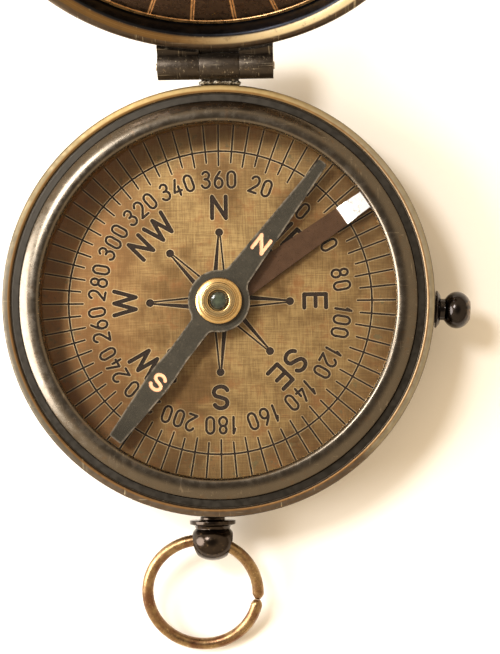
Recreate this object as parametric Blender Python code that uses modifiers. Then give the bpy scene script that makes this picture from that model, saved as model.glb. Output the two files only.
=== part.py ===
"""A pocket magnetic compass in a round brass case with a hinged lid.

The case lies on its back on the table. The origin is the centre of the back, +Z points up through the
dial, +Y is the dial's north and points at the hinge, and +X is its east, where the button stands.
Bearings are in degrees, clockwise from north as seen from above. Lengths are in metres.
"""

import math

import bmesh
import bpy
from mathutils import Matrix

MM = 0.001
OBJECT_NAME = "pocket_compass"

# Case
CASE_RADIUS = 37.5 * MM
CASE_WALL_RADIUS = 37.3 * MM
CASE_BORE_RADIUS = 34.5 * MM
CASE_RIM_HEIGHT = 12.5 * MM
CASE_LEDGE_HEIGHT = 12.2 * MM
CASE_LEDGE_OUTER_RADIUS = 35.8 * MM
CASE_FLOOR_THICKNESS = 1.2 * MM
CASE_BEAD_FILLET = 0.8 * MM
CASE_BEAD_START = 0.2 * MM
CASE_BEAD_DEPTHS = (2.4 * MM, 2.6 * MM)
CASE_BACK_FILLET = 3.0 * MM

# What lies in the case, from the floor up
DISC_RADIUS = 34.2 * MM
SPACER_BOTTOM, SPACER_TOP = 1.5 * MM, 3.9 * MM
SPACER_INNER_RADIUS = 32.9 * MM
DIAL_BOTTOM, DIAL_TOP = 4.2 * MM, 5.0 * MM
SEAT_BOTTOM, SEAT_TOP = 5.3 * MM, 10.4 * MM
SEAT_INNER_RADIUS = 31.6 * MM
SEAT_GAP_BEARINGS = (49.0, 99.0)
GLASS_BOTTOM, GLASS_TOP = 10.7 * MM, 11.7 * MM
GLASS_RADIUS = 33.2 * MM
BEZEL_INNER_RADIUS = 30.8 * MM
BEZEL_SKIRT_RADIUS = 33.5 * MM
BEZEL_LIP_HEIGHT = 12.0 * MM
BEZEL_SPRING_HEIGHT = 12.2 * MM
BEZEL_CROWN_HEIGHT = 13.5 * MM

# Pivot and needle
STEM_RADIUS = 1.1 * MM
STEM_HOLE_RADIUS = 1.4 * MM
POST_SHOULDER_RADIUS = 2.2 * MM
POST_SHOULDER_TOP = 5.9 * MM
POST_TIP = 9.0 * MM
POST_POINT_RADIUS, POST_POINT_HEIGHT = 0.12 * MM, 0.1 * MM
POST_CONE_RADIUS, POST_CONE_HEIGHT = 0.7 * MM, 1.7 * MM
POST_NECK_RADIUS = 0.9 * MM
NUT_RADIUS = 2.9 * MM
NUT_BOTTOM, NUT_TOP = 2.2 * MM, 3.9 * MM
NEEDLE_BEARING = 37.5
NEEDLE_BOTTOM, NEEDLE_TOP = 7.8 * MM, 8.3 * MM
NEEDLE_HUB_RADIUS = 5.45 * MM
NEEDLE_HOLE_RADIUS = 2.0 * MM
NORTH_ARM = ((0.0, 2.5 * MM), (5.5 * MM, 2.25 * MM), (30.5 * MM, 0.85 * MM))
SOUTH_ARM = (
    (0.0, 2.0 * MM),
    (5.5 * MM, 1.9 * MM),
    (11.8 * MM, 1.8 * MM),
    (16.0 * MM, 2.1 * MM),
    (18.5 * MM, 2.1 * MM),
    (30.3 * MM, 1.3 * MM),
)
CAP_RADIUS = 4.1 * MM
CAP_STEP_RADIUS = 3.1 * MM
CAP_SPIGOT_RADIUS = 1.7 * MM
CAP_BORE_RADIUS = 1.1 * MM
CAP_WINDOW_RADIUS = 1.85 * MM
CAP_SPIGOT_BOTTOM = 7.5 * MM
CAP_FLANGE_BOTTOM = 8.6 * MM
CAP_STEP_HEIGHT = 9.3 * MM
CAP_TOP = 10.3 * MM
CAP_SEAT = 9.2 * MM
JEWEL_RADIUS = 1.55 * MM
JEWEL_BOTTOM, JEWEL_TOP = 9.4 * MM, 9.95 * MM
JEWEL_PIT_RADIUS, JEWEL_PIT_DEPTH = 0.5 * MM, 0.25 * MM

# Needle lifter
LEVER_BEARING = 55.8
LEVER_BOTTOM, LEVER_TOP = 5.9 * MM, 6.3 * MM
LEVER_RING_TOP = 7.2 * MM
LEVER_RING_OUTER_RADIUS = 4.8 * MM
LEVER_RING_INNER_RADIUS = 2.7 * MM
LEVER_HALF_WIDTHS = (
    (2.9 * MM, 2.3 * MM),
    (13.4 * MM, 2.0 * MM),
    (26.3 * MM, 1.75 * MM),
    (33.0 * MM, 1.5 * MM),
)
LEVER_BEND_RADII = (26.3 * MM, 28.3 * MM)
LEVER_TAIL_RISE = 1.25 * MM
LEVER_TAIL_RADII = (31.3 * MM, 32.9 * MM)
LEVER_TAIL_END_BEARING = 96.0
FULCRUM_BEARING = 64.0
FULCRUM_RADIUS = 32.1 * MM
FULCRUM_PIN_RADIUS = 0.4 * MM
FULCRUM_COLLAR_RADIUS = 0.95 * MM
FULCRUM_HOLE_RADIUS = 0.7 * MM
FULCRUM_HEAD_TOP = 8.3 * MM
FULCRUM_FOOT = 3.4 * MM

# Needle check button, at the three o'clock side
BUTTON_BEARING = 93.0
BUTTON_HEIGHT = 8.5 * MM
BUTTON_HOLE_RADIUS = 2.7 * MM
BUSH_RADIUS = 2.4 * MM
BUSH_BORE_RADIUS = 2.16 * MM
BUSH_INNER_END, BUSH_SHOULDER = 34.75 * MM, 35.55 * MM
COLLAR_BACK, COLLAR_FRONT = 37.75 * MM, 38.55 * MM
COLLAR_RADIUS = 3.24 * MM
COLLAR_FRONT_RADIUS = 2.5 * MM
ROD_RADIUS = 0.8 * MM
ROD_HOLE_RADIUS = 1.1 * MM
ROD_TIP = 31.4 * MM
ROD_TIP_RADIUS = 0.15 * MM
ROD_CONE = 33.2 * MM
SHANK_RADIUS = 1.86 * MM
SHANK_INNER_END = 37.5 * MM
KNOB_START, KNOB_CENTRE, KNOB_END = 39.15 * MM, 41.5 * MM, 43.75 * MM
KNOB_RADIUS = 3.21 * MM
KNOB_HALF_LENGTH = 2.6 * MM
KNOB_NECK_ANGLE = -54.0
KNOB_FLAT_RADIUS = 1.7 * MM
RETAINER_INNER_FACE, RETAINER_OUTER_FACE = 33.9 * MM, 34.45 * MM
RETAINER_RADIUS = 1.6 * MM
SPRING_COIL_RADIUS = 1.4 * MM
SPRING_WIRE_RADIUS = 0.15 * MM
SPRING_TURNS = 2.5
SPRING_START, SPRING_END = 35.8 * MM, 37.25 * MM

# Pendant at the six o'clock side, and its bow
PENDANT_X = -1.6 * MM
PENDANT_HEIGHT = 6.2 * MM
PENDANT_HOLE_RADIUS = 1.6 * MM
PENDANT_STUD_RADIUS = 1.3 * MM
PENDANT_STUD_END = 34.85 * MM
PENDANT_NECK_RADIUS = 2.16 * MM
PENDANT_FLANGE_RADIUS = 4.0 * MM
PENDANT_FLANGE_BOTTOM, PENDANT_FLANGE_TOP = 38.35 * MM, 39.15 * MM
PENDANT_WAIST_RADIUS = 2.95 * MM
PENDANT_BALL_RADIUS = 3.95 * MM
PENDANT_BALL_CENTRE = 42.0 * MM
PENDANT_BALL_DEPTH = 3.35 * MM
BOW_HOLE_RADIUS = 2.0 * MM
BOW_AXIS_DISTANCE = 42.5 * MM
BOW_RADIUS = 9.75 * MM
BOW_WIRE_RADIUS = 1.05 * MM
BOW_END_SIZES = (0.72, 0.92)
BOW_SIDE_SHIFT = 2.0 * MM
BOW_CENTRE_REACH = 8.95 * MM
BOW_GAP_ANGLE = 8.0
BOW_GAP_WIDTH = 5.0
BOW_TABLE_CLEARANCE = 0.05 * MM

# Hinge
HINGE_Y = 40.6 * MM
HINGE_Z = 12.65 * MM
KNUCKLE_RADIUS = 2.3 * MM
KNUCKLE_BORE_RADIUS = 1.0 * MM
PIN_RADIUS = 0.7 * MM
PIN_ENDS = (-10.3 * MM, 10.35 * MM)
LEFT_KNUCKLE = (-9.95 * MM, -2.75 * MM)
CASE_KNUCKLE = (-2.45 * MM, 4.0 * MM)
RIGHT_KNUCKLE = (4.3 * MM, 10.1 * MM)
HINGE_BORE_ENDS = (-12.0 * MM, 12.0 * MM)
LEAF_FIT_RADIUS = 37.8 * MM
LEAF_INSIDE_REACH = 2.0 * MM
LEAF_OUTER_Y = 39.6 * MM
CASE_LEAF_BOTTOM, CASE_LEAF_TOP = 8.4 * MM, 12.2 * MM
LID_LEAF_BOTTOM, LID_LEAF_NOTCH, LID_LEAF_TOP = 13.1 * MM, 15.4 * MM, 17.0 * MM

# Lid, with heights as in the closed compass
LID_OPEN_ANGLE = 125.0
LID_RIM_HEIGHT = 12.8 * MM
LID_EDGE_RADIUS = 36.4 * MM
LID_WALL_START = 13.6 * MM
LID_MOUTH_RADIUS, LID_MOUTH_HEIGHT = 34.1 * MM, 13.9 * MM
LID_RECESS_HEIGHT = 16.9 * MM
LID_FLOOR_RADIUS = 32.6 * MM
LID_SHOULDER_HEIGHT = 16.3 * MM
LID_TOP_FILLET = 2.6 * MM
LID_DOME_HEIGHT = 19.6 * MM
LID_THICKNESS = 1.0 * MM
LID_PLATE_RADIUS = 33.8 * MM
LID_PLATE_BOTTOM, LID_PLATE_TOP = 16.0 * MM, 16.6 * MM

EDGE_BREAK = 0.2 * MM
ROUNDED_EDGE = 0.3 * MM
FIT_GAP = 0.25 * MM

LARGE_SEGMENTS = 60
SMALL_SEGMENTS = 24
WALL_SEGMENTS = 144
CUT_MARGIN = 1.0 * MM
CUTTER_LENGTH = 30.0 * MM
WELD_DISTANCE = 0.001 * MM


def clear_scene():
    for obj in list(bpy.data.objects):
        bpy.data.objects.remove(obj, do_unlink=True)


def new_collection(name):
    collection = bpy.data.collections.new(name)
    bpy.context.scene.collection.children.link(collection)
    return collection


clear_scene()
PART = new_collection(OBJECT_NAME)
CUTTERS = new_collection("cutters")


def metal(name, colour, roughness, metallic=1.0, alpha=1.0):
    material = bpy.data.materials.new(name)
    material.use_nodes = True
    shader = material.node_tree.nodes["Principled BSDF"]
    shader.inputs["Base Color"].default_value = (*colour, 1.0)
    shader.inputs["Roughness"].default_value = roughness
    shader.inputs["Metallic"].default_value = metallic
    shader.inputs["Alpha"].default_value = alpha
    return material


def add_object(name, mesh, colour=None, roughness=0.4, metallic=1.0, alpha=1.0, parent=None):
    """A part when it has a colour, otherwise a helper that cuts or joins."""
    obj = bpy.data.objects.new(name, mesh)
    if colour is None:
        CUTTERS.objects.link(obj)
        obj.hide_render = True
        obj.display_type = "WIRE"
    else:
        PART.objects.link(obj)
        mesh.materials.append(metal(name, colour, roughness, metallic, alpha))
    obj.parent = parent
    return obj


def add_frame(name, location, rotation=None):
    """An empty that carries the pieces of one moving group, on its joint's axis."""
    frame = bpy.data.objects.new(name, None)
    frame.matrix_world = Matrix.Translation(location) @ (rotation or Matrix.Identity(4))
    frame.empty_display_size = 5.0 * MM
    CUTTERS.objects.link(frame)
    return frame


def point_at(radius, bearing):
    angle = math.radians(bearing)
    return radius * math.sin(angle), radius * math.cos(angle)


def arc(centre_r, centre_z, radius_r, radius_z, start, end, steps):
    """Points along an ellipse in a turned profile; 0 degrees points outwards and 90 up."""
    points = []
    for step in range(steps + 1):
        angle = math.radians(start + (end - start) * step / steps)
        points.append((centre_r + radius_r * math.cos(angle), centre_z + radius_z * math.sin(angle)))
    return points


def lathe_mesh(name, profile, closed):
    mesh = bpy.data.meshes.new(name)
    edges = [(index, index + 1) for index in range(len(profile) - 1)]
    if closed:
        edges.append((len(profile) - 1, 0))
    mesh.from_pydata([(radius, 0.0, height) for radius, height in profile], edges, [])
    return mesh


def turned(name, profile, segments, closed=False, **look):
    """A body of revolution about its own Z; the profile runs down its outer side, top to bottom."""
    obj = add_object(name, lathe_mesh(name, profile, closed), **look)
    screw = obj.modifiers.new("turn", "SCREW")
    screw.steps = segments
    screw.render_steps = segments
    screw.use_merge_vertices = True
    screw.merge_threshold = WELD_DISTANCE
    screw.use_smooth_shade = True
    return obj


def mesh_from_curve(name, curve):
    """The filled curve as a welded mesh."""
    guide = bpy.data.objects.new(name + "_outline", curve)
    CUTTERS.objects.link(guide)
    bpy.context.view_layer.update()
    evaluated = guide.evaluated_get(bpy.context.evaluated_depsgraph_get())
    mesh = bpy.data.meshes.new_from_object(evaluated)
    bpy.data.objects.remove(guide, do_unlink=True)
    shape = bmesh.new()
    shape.from_mesh(mesh)
    bmesh.ops.remove_doubles(shape, verts=shape.verts, dist=WELD_DISTANCE)
    bmesh.ops.recalc_face_normals(shape, faces=shape.faces)
    shape.to_mesh(mesh)
    shape.free()
    return mesh


def plate(name, outlines, bottom, top, **look):
    """A flat piece between two heights; the outlines are its edge and then its holes."""
    curve = bpy.data.curves.new(name, "CURVE")
    curve.dimensions = "2D"
    curve.fill_mode = "BOTH"
    curve.extrude = (top - bottom) / 2
    for outline in outlines:
        spline = curve.splines.new("POLY")
        spline.points.add(len(outline) - 1)
        for point, (x, y) in zip(spline.points, outline):
            point.co = (x, y, 0.0, 1.0)
        spline.use_cyclic_u = True
    obj = add_object(name, mesh_from_curve(name, curve), **look)
    obj.location.z = (bottom + top) / 2
    return obj


def wire(name, points, radius, cyclic=False, end_radii=None, **look):
    """A round wire along points; end_radii scales the first and last few points."""
    curve = bpy.data.curves.new(name, "CURVE")
    curve.dimensions = "3D"
    curve.bevel_depth = radius
    curve.bevel_resolution = 2
    curve.use_fill_caps = True
    spline = curve.splines.new("POLY")
    spline.points.add(len(points) - 1)
    for point, place in zip(spline.points, points):
        point.co = (*place, 1.0)
    for index, scale in enumerate(end_radii or ()):
        spline.points[index].radius = scale
        spline.points[-1 - index].radius = scale
    spline.use_cyclic_u = cyclic
    return add_object(name, mesh_from_curve(name, curve), **look)


def circle(radius, centre=(0.0, 0.0), segments=SMALL_SEGMENTS):
    points = []
    for index in range(segments):
        angle = 2 * math.pi * index / segments
        points.append((centre[0] + radius * math.cos(angle), centre[1] + radius * math.sin(angle)))
    return points


def ring_sector(inner, outer, start_bearing, end_bearing, steps):
    """A flat piece of a ring between two bearings."""
    span = end_bearing - start_bearing
    bearings = [start_bearing + span * step / steps for step in range(steps + 1)]
    outside = [point_at(outer, bearing) for bearing in bearings]
    inside = [point_at(inner, bearing) for bearing in reversed(bearings)]
    return outside + inside


def box_helper(name, low, high, parent=None):
    shape = bmesh.new()
    bmesh.ops.create_cube(shape, size=1.0)
    for vertex in shape.verts:
        vertex.co = [(a + b) / 2 + t * (b - a) for a, b, t in zip(low, high, vertex.co)]
    mesh = bpy.data.meshes.new(name)
    shape.to_mesh(mesh)
    shape.free()
    return add_object(name, mesh, parent=parent)


def cylinder_mesh(name, radius, length, segments=SMALL_SEGMENTS):
    shape = bmesh.new()
    bmesh.ops.create_cone(
        shape, cap_ends=True, segments=segments, radius1=radius, radius2=radius, depth=length
    )
    mesh = bpy.data.meshes.new(name)
    shape.to_mesh(mesh)
    shape.free()
    return mesh


def rod_along_x(name, radius, ends, parent=None, **look):
    """A round rod about the X line through its parent's origin."""
    mesh = cylinder_mesh(name, radius, ends[1] - ends[0])
    mesh.transform(Matrix.Rotation(math.radians(90.0), 4, "Y"))
    mesh.transform(Matrix.Translation(((ends[0] + ends[1]) / 2, 0.0, 0.0)))
    return add_object(name, mesh, parent=parent, **look)


def combine(obj, helper, operation):
    boolean = obj.modifiers.new(operation.lower() + "_" + helper.name, "BOOLEAN")
    boolean.operation = operation
    boolean.object = helper
    boolean.solver = "EXACT"


def outward_frame(bearing, height, offset_x=0.0):
    """A transform whose +Z points out of the case wall along a bearing."""
    aim = Matrix.Rotation(math.radians(90.0 - bearing), 4, "Z")
    turn = aim @ Matrix.Rotation(math.radians(90.0), 4, "Y")
    return Matrix.Translation((offset_x, 0.0, height)) @ turn


BUTTON_FRAME = outward_frame(BUTTON_BEARING, BUTTON_HEIGHT)
PENDANT_FRAME = outward_frame(180.0, PENDANT_HEIGHT, PENDANT_X)


def wall_hole(name, frame, radius):
    length = CASE_RADIUS - CASE_BORE_RADIUS + 2 * CUT_MARGIN
    cutter = add_object(name, cylinder_mesh(name, radius, length))
    middle = (CASE_RADIUS + CASE_BORE_RADIUS) / 2
    cutter.matrix_world = frame @ Matrix.Translation((0.0, 0.0, middle))
    return cutter


# ---- Case and what is fixed in it


def case_shell():
    fillet = CASE_BACK_FILLET
    profile = [
        (0.0, CASE_FLOOR_THICKNESS),
        (CASE_BORE_RADIUS, CASE_FLOOR_THICKNESS),
        (CASE_BORE_RADIUS, CASE_LEDGE_HEIGHT),
        (CASE_LEDGE_OUTER_RADIUS, CASE_LEDGE_HEIGHT),
        (CASE_LEDGE_OUTER_RADIUS + CASE_BEAD_START, CASE_RIM_HEIGHT - CASE_BEAD_START / 4),
    ]
    bead = CASE_BEAD_FILLET
    profile += arc(CASE_RADIUS - bead, CASE_RIM_HEIGHT - bead, bead, bead, 90, 0, 3)
    bead_bottom, wall_top = CASE_BEAD_DEPTHS
    profile.append((CASE_RADIUS, CASE_RIM_HEIGHT - bead_bottom))
    profile.append((CASE_WALL_RADIUS, CASE_RIM_HEIGHT - wall_top))
    profile += arc(CASE_WALL_RADIUS - fillet, fillet, fillet, fillet, 0, -90, 4)
    profile.append((0.0, 0.0))
    shell = turned("case_shell", profile, LARGE_SEGMENTS, colour=(0.16, 0.11, 0.07), roughness=0.38)
    combine(shell, wall_hole("button_wall_hole", BUTTON_FRAME, BUTTON_HOLE_RADIUS), "DIFFERENCE")
    combine(shell, wall_hole("pendant_wall_hole", PENDANT_FRAME, PENDANT_HOLE_RADIUS), "DIFFERENCE")
    return shell


def flat_ring(name, inner, outer, bottom, top, **look):
    profile = [(inner, top), (outer, top), (outer, bottom), (inner, bottom)]
    return turned(name, profile, LARGE_SEGMENTS, closed=True, **look)


def dial_spacer_ring():
    look = {"colour": (0.45, 0.3, 0.13)}
    return flat_ring("dial_spacer_ring", SPACER_INNER_RADIUS, DISC_RADIUS, SPACER_BOTTOM, SPACER_TOP, **look)


def dial_plate():
    outlines = [
        circle(DISC_RADIUS, segments=LARGE_SEGMENTS),
        circle(STEM_HOLE_RADIUS, segments=24),
        circle(FULCRUM_HOLE_RADIUS, point_at(FULCRUM_RADIUS, FULCRUM_BEARING), segments=16),
    ]
    return plate("dial_plate", outlines, DIAL_BOTTOM, DIAL_TOP, colour=(0.48, 0.27, 0.1), roughness=0.35)


def glass_seat_ring():
    start, end = SEAT_GAP_BEARINGS
    outline = ring_sector(SEAT_INNER_RADIUS, DISC_RADIUS, end, start + 360.0, LARGE_SEGMENTS)
    return plate("glass_seat_ring", [outline], SEAT_BOTTOM, SEAT_TOP, colour=(0.3, 0.19, 0.08))


def cover_glass():
    profile = [
        (0.0, GLASS_TOP),
        (GLASS_RADIUS - EDGE_BREAK, GLASS_TOP),
        (GLASS_RADIUS, GLASS_TOP - EDGE_BREAK),
        (GLASS_RADIUS, GLASS_BOTTOM),
        (0.0, GLASS_BOTTOM),
    ]
    look = {"colour": (0.9, 0.95, 0.93), "roughness": 0.02, "metallic": 0.0, "alpha": 0.12}
    return turned("cover_glass", profile, LARGE_SEGMENTS, **look)


def bezel_ring():
    crown_middle = (BEZEL_INNER_RADIUS + DISC_RADIUS) / 2
    crown_half = (DISC_RADIUS - BEZEL_INNER_RADIUS) / 2
    rise = BEZEL_CROWN_HEIGHT - BEZEL_SPRING_HEIGHT
    profile = [(BEZEL_INNER_RADIUS, BEZEL_LIP_HEIGHT)]
    profile += arc(crown_middle, BEZEL_SPRING_HEIGHT, crown_half, rise, 180, 0, 8)
    profile += [
        (DISC_RADIUS, GLASS_BOTTOM),
        (BEZEL_SKIRT_RADIUS, GLASS_BOTTOM),
        (BEZEL_SKIRT_RADIUS, BEZEL_LIP_HEIGHT),
    ]
    look = {"colour": (0.13, 0.09, 0.06), "roughness": 0.28}
    return turned("bezel_ring", profile, LARGE_SEGMENTS, closed=True, **look)


def pivot_post():
    cone_start = POST_SHOULDER_TOP + ROUNDED_EDGE
    profile = [
        (0.0, POST_TIP),
        (POST_POINT_RADIUS, POST_TIP - POST_POINT_HEIGHT),
        (POST_CONE_RADIUS, POST_TIP - POST_CONE_HEIGHT),
        (POST_NECK_RADIUS, cone_start),
        (POST_SHOULDER_RADIUS - ROUNDED_EDGE, POST_SHOULDER_TOP),
        (POST_SHOULDER_RADIUS, POST_SHOULDER_TOP - EDGE_BREAK),
        (POST_SHOULDER_RADIUS, SEAT_BOTTOM),
        (STEM_RADIUS, SEAT_BOTTOM),
        (STEM_RADIUS, SPACER_BOTTOM + ROUNDED_EDGE),
        (0.0, SPACER_BOTTOM + ROUNDED_EDGE),
    ]
    return turned("pivot_post", profile, 24, colour=(0.45, 0.42, 0.38), roughness=0.25)


def pivot_nut():
    outlines = [circle(NUT_RADIUS, segments=6), circle(STEM_HOLE_RADIUS, segments=24)]
    return plate("pivot_nut", outlines, NUT_BOTTOM, NUT_TOP, colour=(0.5, 0.36, 0.16))


def fulcrum_stud():
    x, y = point_at(FULCRUM_RADIUS, FULCRUM_BEARING)
    tail_bottom = LEVER_BOTTOM + LEVER_TAIL_RISE
    tail_top = LEVER_TOP + LEVER_TAIL_RISE
    profile = [
        (0.0, FULCRUM_HEAD_TOP),
        (FULCRUM_COLLAR_RADIUS - EDGE_BREAK, FULCRUM_HEAD_TOP),
        (FULCRUM_COLLAR_RADIUS, FULCRUM_HEAD_TOP - EDGE_BREAK),
        (FULCRUM_COLLAR_RADIUS, tail_top + FIT_GAP),
        (FULCRUM_PIN_RADIUS, tail_top + FIT_GAP),
        (FULCRUM_PIN_RADIUS, tail_bottom - FIT_GAP),
        (FULCRUM_COLLAR_RADIUS, tail_bottom - FIT_GAP),
        (FULCRUM_COLLAR_RADIUS, SEAT_BOTTOM),
        (FULCRUM_PIN_RADIUS, SEAT_BOTTOM),
        (FULCRUM_PIN_RADIUS, FULCRUM_FOOT),
        (0.0, FULCRUM_FOOT),
    ]
    stud = turned("fulcrum_stud", profile, 16, colour=(0.55, 0.4, 0.18))
    stud.location = (x, y, 0.0)
    return stud


def button_collar():
    profile = [
        (BUSH_BORE_RADIUS, COLLAR_FRONT),
        (COLLAR_FRONT_RADIUS, COLLAR_FRONT),
        (COLLAR_RADIUS, COLLAR_BACK + FIT_GAP),
        (COLLAR_RADIUS, COLLAR_BACK),
        (BUSH_RADIUS, COLLAR_BACK),
        (BUSH_RADIUS, BUSH_INNER_END),
        (ROD_HOLE_RADIUS, BUSH_INNER_END),
        (ROD_HOLE_RADIUS, BUSH_SHOULDER),
        (BUSH_BORE_RADIUS, BUSH_SHOULDER),
    ]
    collar = turned("button_collar", profile, SMALL_SEGMENTS, closed=True, colour=(0.09, 0.07, 0.055))
    collar.matrix_world = BUTTON_FRAME
    return collar


def pendant():
    ball_end = math.degrees(math.acos(PENDANT_WAIST_RADIUS / PENDANT_BALL_RADIUS))
    profile = arc(0.0, PENDANT_BALL_CENTRE, PENDANT_BALL_RADIUS, PENDANT_BALL_DEPTH, 90, -ball_end, 10)
    profile[0] = (0.0, PENDANT_BALL_CENTRE + PENDANT_BALL_DEPTH)
    profile += [
        (PENDANT_FLANGE_RADIUS, PENDANT_FLANGE_TOP - EDGE_BREAK),
        (PENDANT_FLANGE_RADIUS, PENDANT_FLANGE_BOTTOM),
        (PENDANT_NECK_RADIUS, PENDANT_FLANGE_BOTTOM - EDGE_BREAK / 2),
        (PENDANT_NECK_RADIUS, CASE_RADIUS + FIT_GAP),
        (PENDANT_STUD_RADIUS, CASE_RADIUS + FIT_GAP),
        (PENDANT_STUD_RADIUS, PENDANT_STUD_END),
        (0.0, PENDANT_STUD_END),
    ]
    stem = turned("pendant", profile, SMALL_SEGMENTS, colour=(0.13, 0.11, 0.09), roughness=0.15)
    stem.matrix_world = PENDANT_FRAME
    hole_ends = (-PENDANT_BALL_RADIUS - CUT_MARGIN, PENDANT_BALL_RADIUS + CUT_MARGIN)
    hole = rod_along_x("bow_hole", BOW_HOLE_RADIUS, hole_ends, parent=BOW_AXIS)
    combine(stem, hole, "DIFFERENCE")
    return stem


def hinge_leaf_helper(name, x_ends, bottom, top, parent=None, origin=(0.0, 0.0, 0.0)):
    """A block against the round wall, from inside the wall out to the leaf's outer face."""
    low = (x_ends[0] - origin[0], LEAF_FIT_RADIUS - LEAF_INSIDE_REACH - origin[1], bottom - origin[2])
    high = (x_ends[1] - origin[0], LEAF_OUTER_Y - origin[1], top - origin[2])
    return box_helper(name, low, high, parent)


def wall_relief(name, parent=None, origin=(0.0, 0.0, 0.0)):
    """The round space of the case or lid, which a hinge leaf is shaped to."""
    tall_round = cylinder_mesh(name, LEAF_FIT_RADIUS, CUTTER_LENGTH, WALL_SEGMENTS)
    relief = add_object(name, tall_round, parent=parent)
    relief.location = (-origin[0], -origin[1], CASE_RIM_HEIGHT - origin[2])
    return relief


def case_hinge_knuckle():
    knuckle = rod_along_x("case_hinge_knuckle", KNUCKLE_RADIUS, CASE_KNUCKLE, colour=(0.09, 0.08, 0.065))
    knuckle.location = (0.0, HINGE_Y, HINGE_Z)
    leaf = hinge_leaf_helper("case_leaf", CASE_KNUCKLE, CASE_LEAF_BOTTOM, CASE_LEAF_TOP)
    combine(knuckle, leaf, "UNION")
    combine(knuckle, wall_relief("case_wall_relief"), "DIFFERENCE")
    bore = rod_along_x("case_knuckle_bore", KNUCKLE_BORE_RADIUS, HINGE_BORE_ENDS)
    bore.location = (0.0, HINGE_Y, HINGE_Z)
    combine(knuckle, bore, "DIFFERENCE")
    return knuckle


# ---- Needle


def arm_outline(stations, sign):
    """The right side of an arm outwards and its left side back, along +Y or -Y."""
    right = [(half * sign, reach * sign) for reach, half in stations]
    left = [(-half * sign, reach * sign) for reach, half in reversed(stations)]
    return right + left


def needle_bar():
    look = {"colour": (0.09, 0.085, 0.07), "roughness": 0.5}
    hub = circle(NEEDLE_HUB_RADIUS, segments=48)
    bar = plate("needle_bar", [hub], NEEDLE_BOTTOM, NEEDLE_TOP, **look)
    bar.parent = NEEDLE_AXIS
    for name, stations, sign in (("north_arm", NORTH_ARM, 1), ("south_arm", SOUTH_ARM, -1)):
        arm = plate(name, [arm_outline(stations, sign)], NEEDLE_BOTTOM, NEEDLE_TOP)
        arm.parent = NEEDLE_AXIS
        combine(bar, arm, "UNION")
    hole_mesh = cylinder_mesh("needle_hole", NEEDLE_HOLE_RADIUS, CUTTER_LENGTH)
    hole = add_object("needle_hole", hole_mesh, parent=NEEDLE_AXIS)
    hole.location.z = NEEDLE_BOTTOM
    combine(bar, hole, "DIFFERENCE")
    return bar


def needle_cap():
    profile = [
        (CAP_WINDOW_RADIUS, CAP_TOP),
        (CAP_STEP_RADIUS - ROUNDED_EDGE, CAP_TOP),
        (CAP_STEP_RADIUS, CAP_TOP - ROUNDED_EDGE),
        (CAP_STEP_RADIUS, CAP_STEP_HEIGHT + EDGE_BREAK),
        (CAP_RADIUS - ROUNDED_EDGE, CAP_STEP_HEIGHT),
        (CAP_RADIUS, CAP_STEP_HEIGHT - ROUNDED_EDGE),
        (CAP_RADIUS, CAP_FLANGE_BOTTOM),
        (CAP_SPIGOT_RADIUS, CAP_FLANGE_BOTTOM),
        (CAP_SPIGOT_RADIUS, CAP_SPIGOT_BOTTOM),
        (CAP_BORE_RADIUS, CAP_SPIGOT_BOTTOM),
        (CAP_BORE_RADIUS, CAP_SEAT),
        (CAP_WINDOW_RADIUS, CAP_SEAT),
    ]
    look = {"colour": (0.55, 0.37, 0.13), "roughness": 0.25}
    return turned("needle_cap", profile, 32, closed=True, parent=NEEDLE_AXIS, **look)


def needle_jewel():
    profile = [
        (0.0, JEWEL_TOP),
        (JEWEL_RADIUS - ROUNDED_EDGE, JEWEL_TOP - EDGE_BREAK / 4),
        (JEWEL_RADIUS, JEWEL_TOP - EDGE_BREAK),
        (JEWEL_RADIUS, JEWEL_BOTTOM),
        (JEWEL_PIT_RADIUS, JEWEL_BOTTOM),
        (0.0, JEWEL_BOTTOM + JEWEL_PIT_DEPTH),
    ]
    look = {"colour": (0.1, 0.13, 0.1), "roughness": 0.05, "metallic": 0.0}
    return turned("needle_jewel", profile, 24, parent=NEEDLE_AXIS, **look)


# ---- Needle lifter


def lever_strip_helper(name):
    """The arm in side view, flat near the hub and raised over the dial's edge, made wider than the arm."""
    bend_start, bend_end = LEVER_BEND_RADII
    start, end = LEVER_HALF_WIDTHS[0][0], LEVER_HALF_WIDTHS[-1][0]
    rise = LEVER_TAIL_RISE
    lower = [(start, LEVER_BOTTOM), (bend_start, LEVER_BOTTOM)]
    lower += [(bend_end, LEVER_BOTTOM + rise), (end, LEVER_BOTTOM + rise)]
    upper = [(reach, height + LEVER_TOP - LEVER_BOTTOM) for reach, height in reversed(lower)]
    width = 4 * LEVER_HALF_WIDTHS[0][1]
    strip = plate(name, [lower + upper], -width / 2, width / 2)
    strip.matrix_world = LEVER_DIRECTION @ Matrix.Rotation(math.radians(90.0), 4, "X")
    return strip


def lever_arm_helper(name):
    """The arm in plan, made taller than the strip."""
    right = [(reach, -half) for reach, half in LEVER_HALF_WIDTHS]
    left = [(reach, half) for reach, half in reversed(LEVER_HALF_WIDTHS)]
    arm = plate(name, [right + left], 0.0, GLASS_TOP)
    arm.matrix_world = LEVER_DIRECTION @ Matrix.Translation((0.0, 0.0, GLASS_TOP / 2))
    return arm


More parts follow.
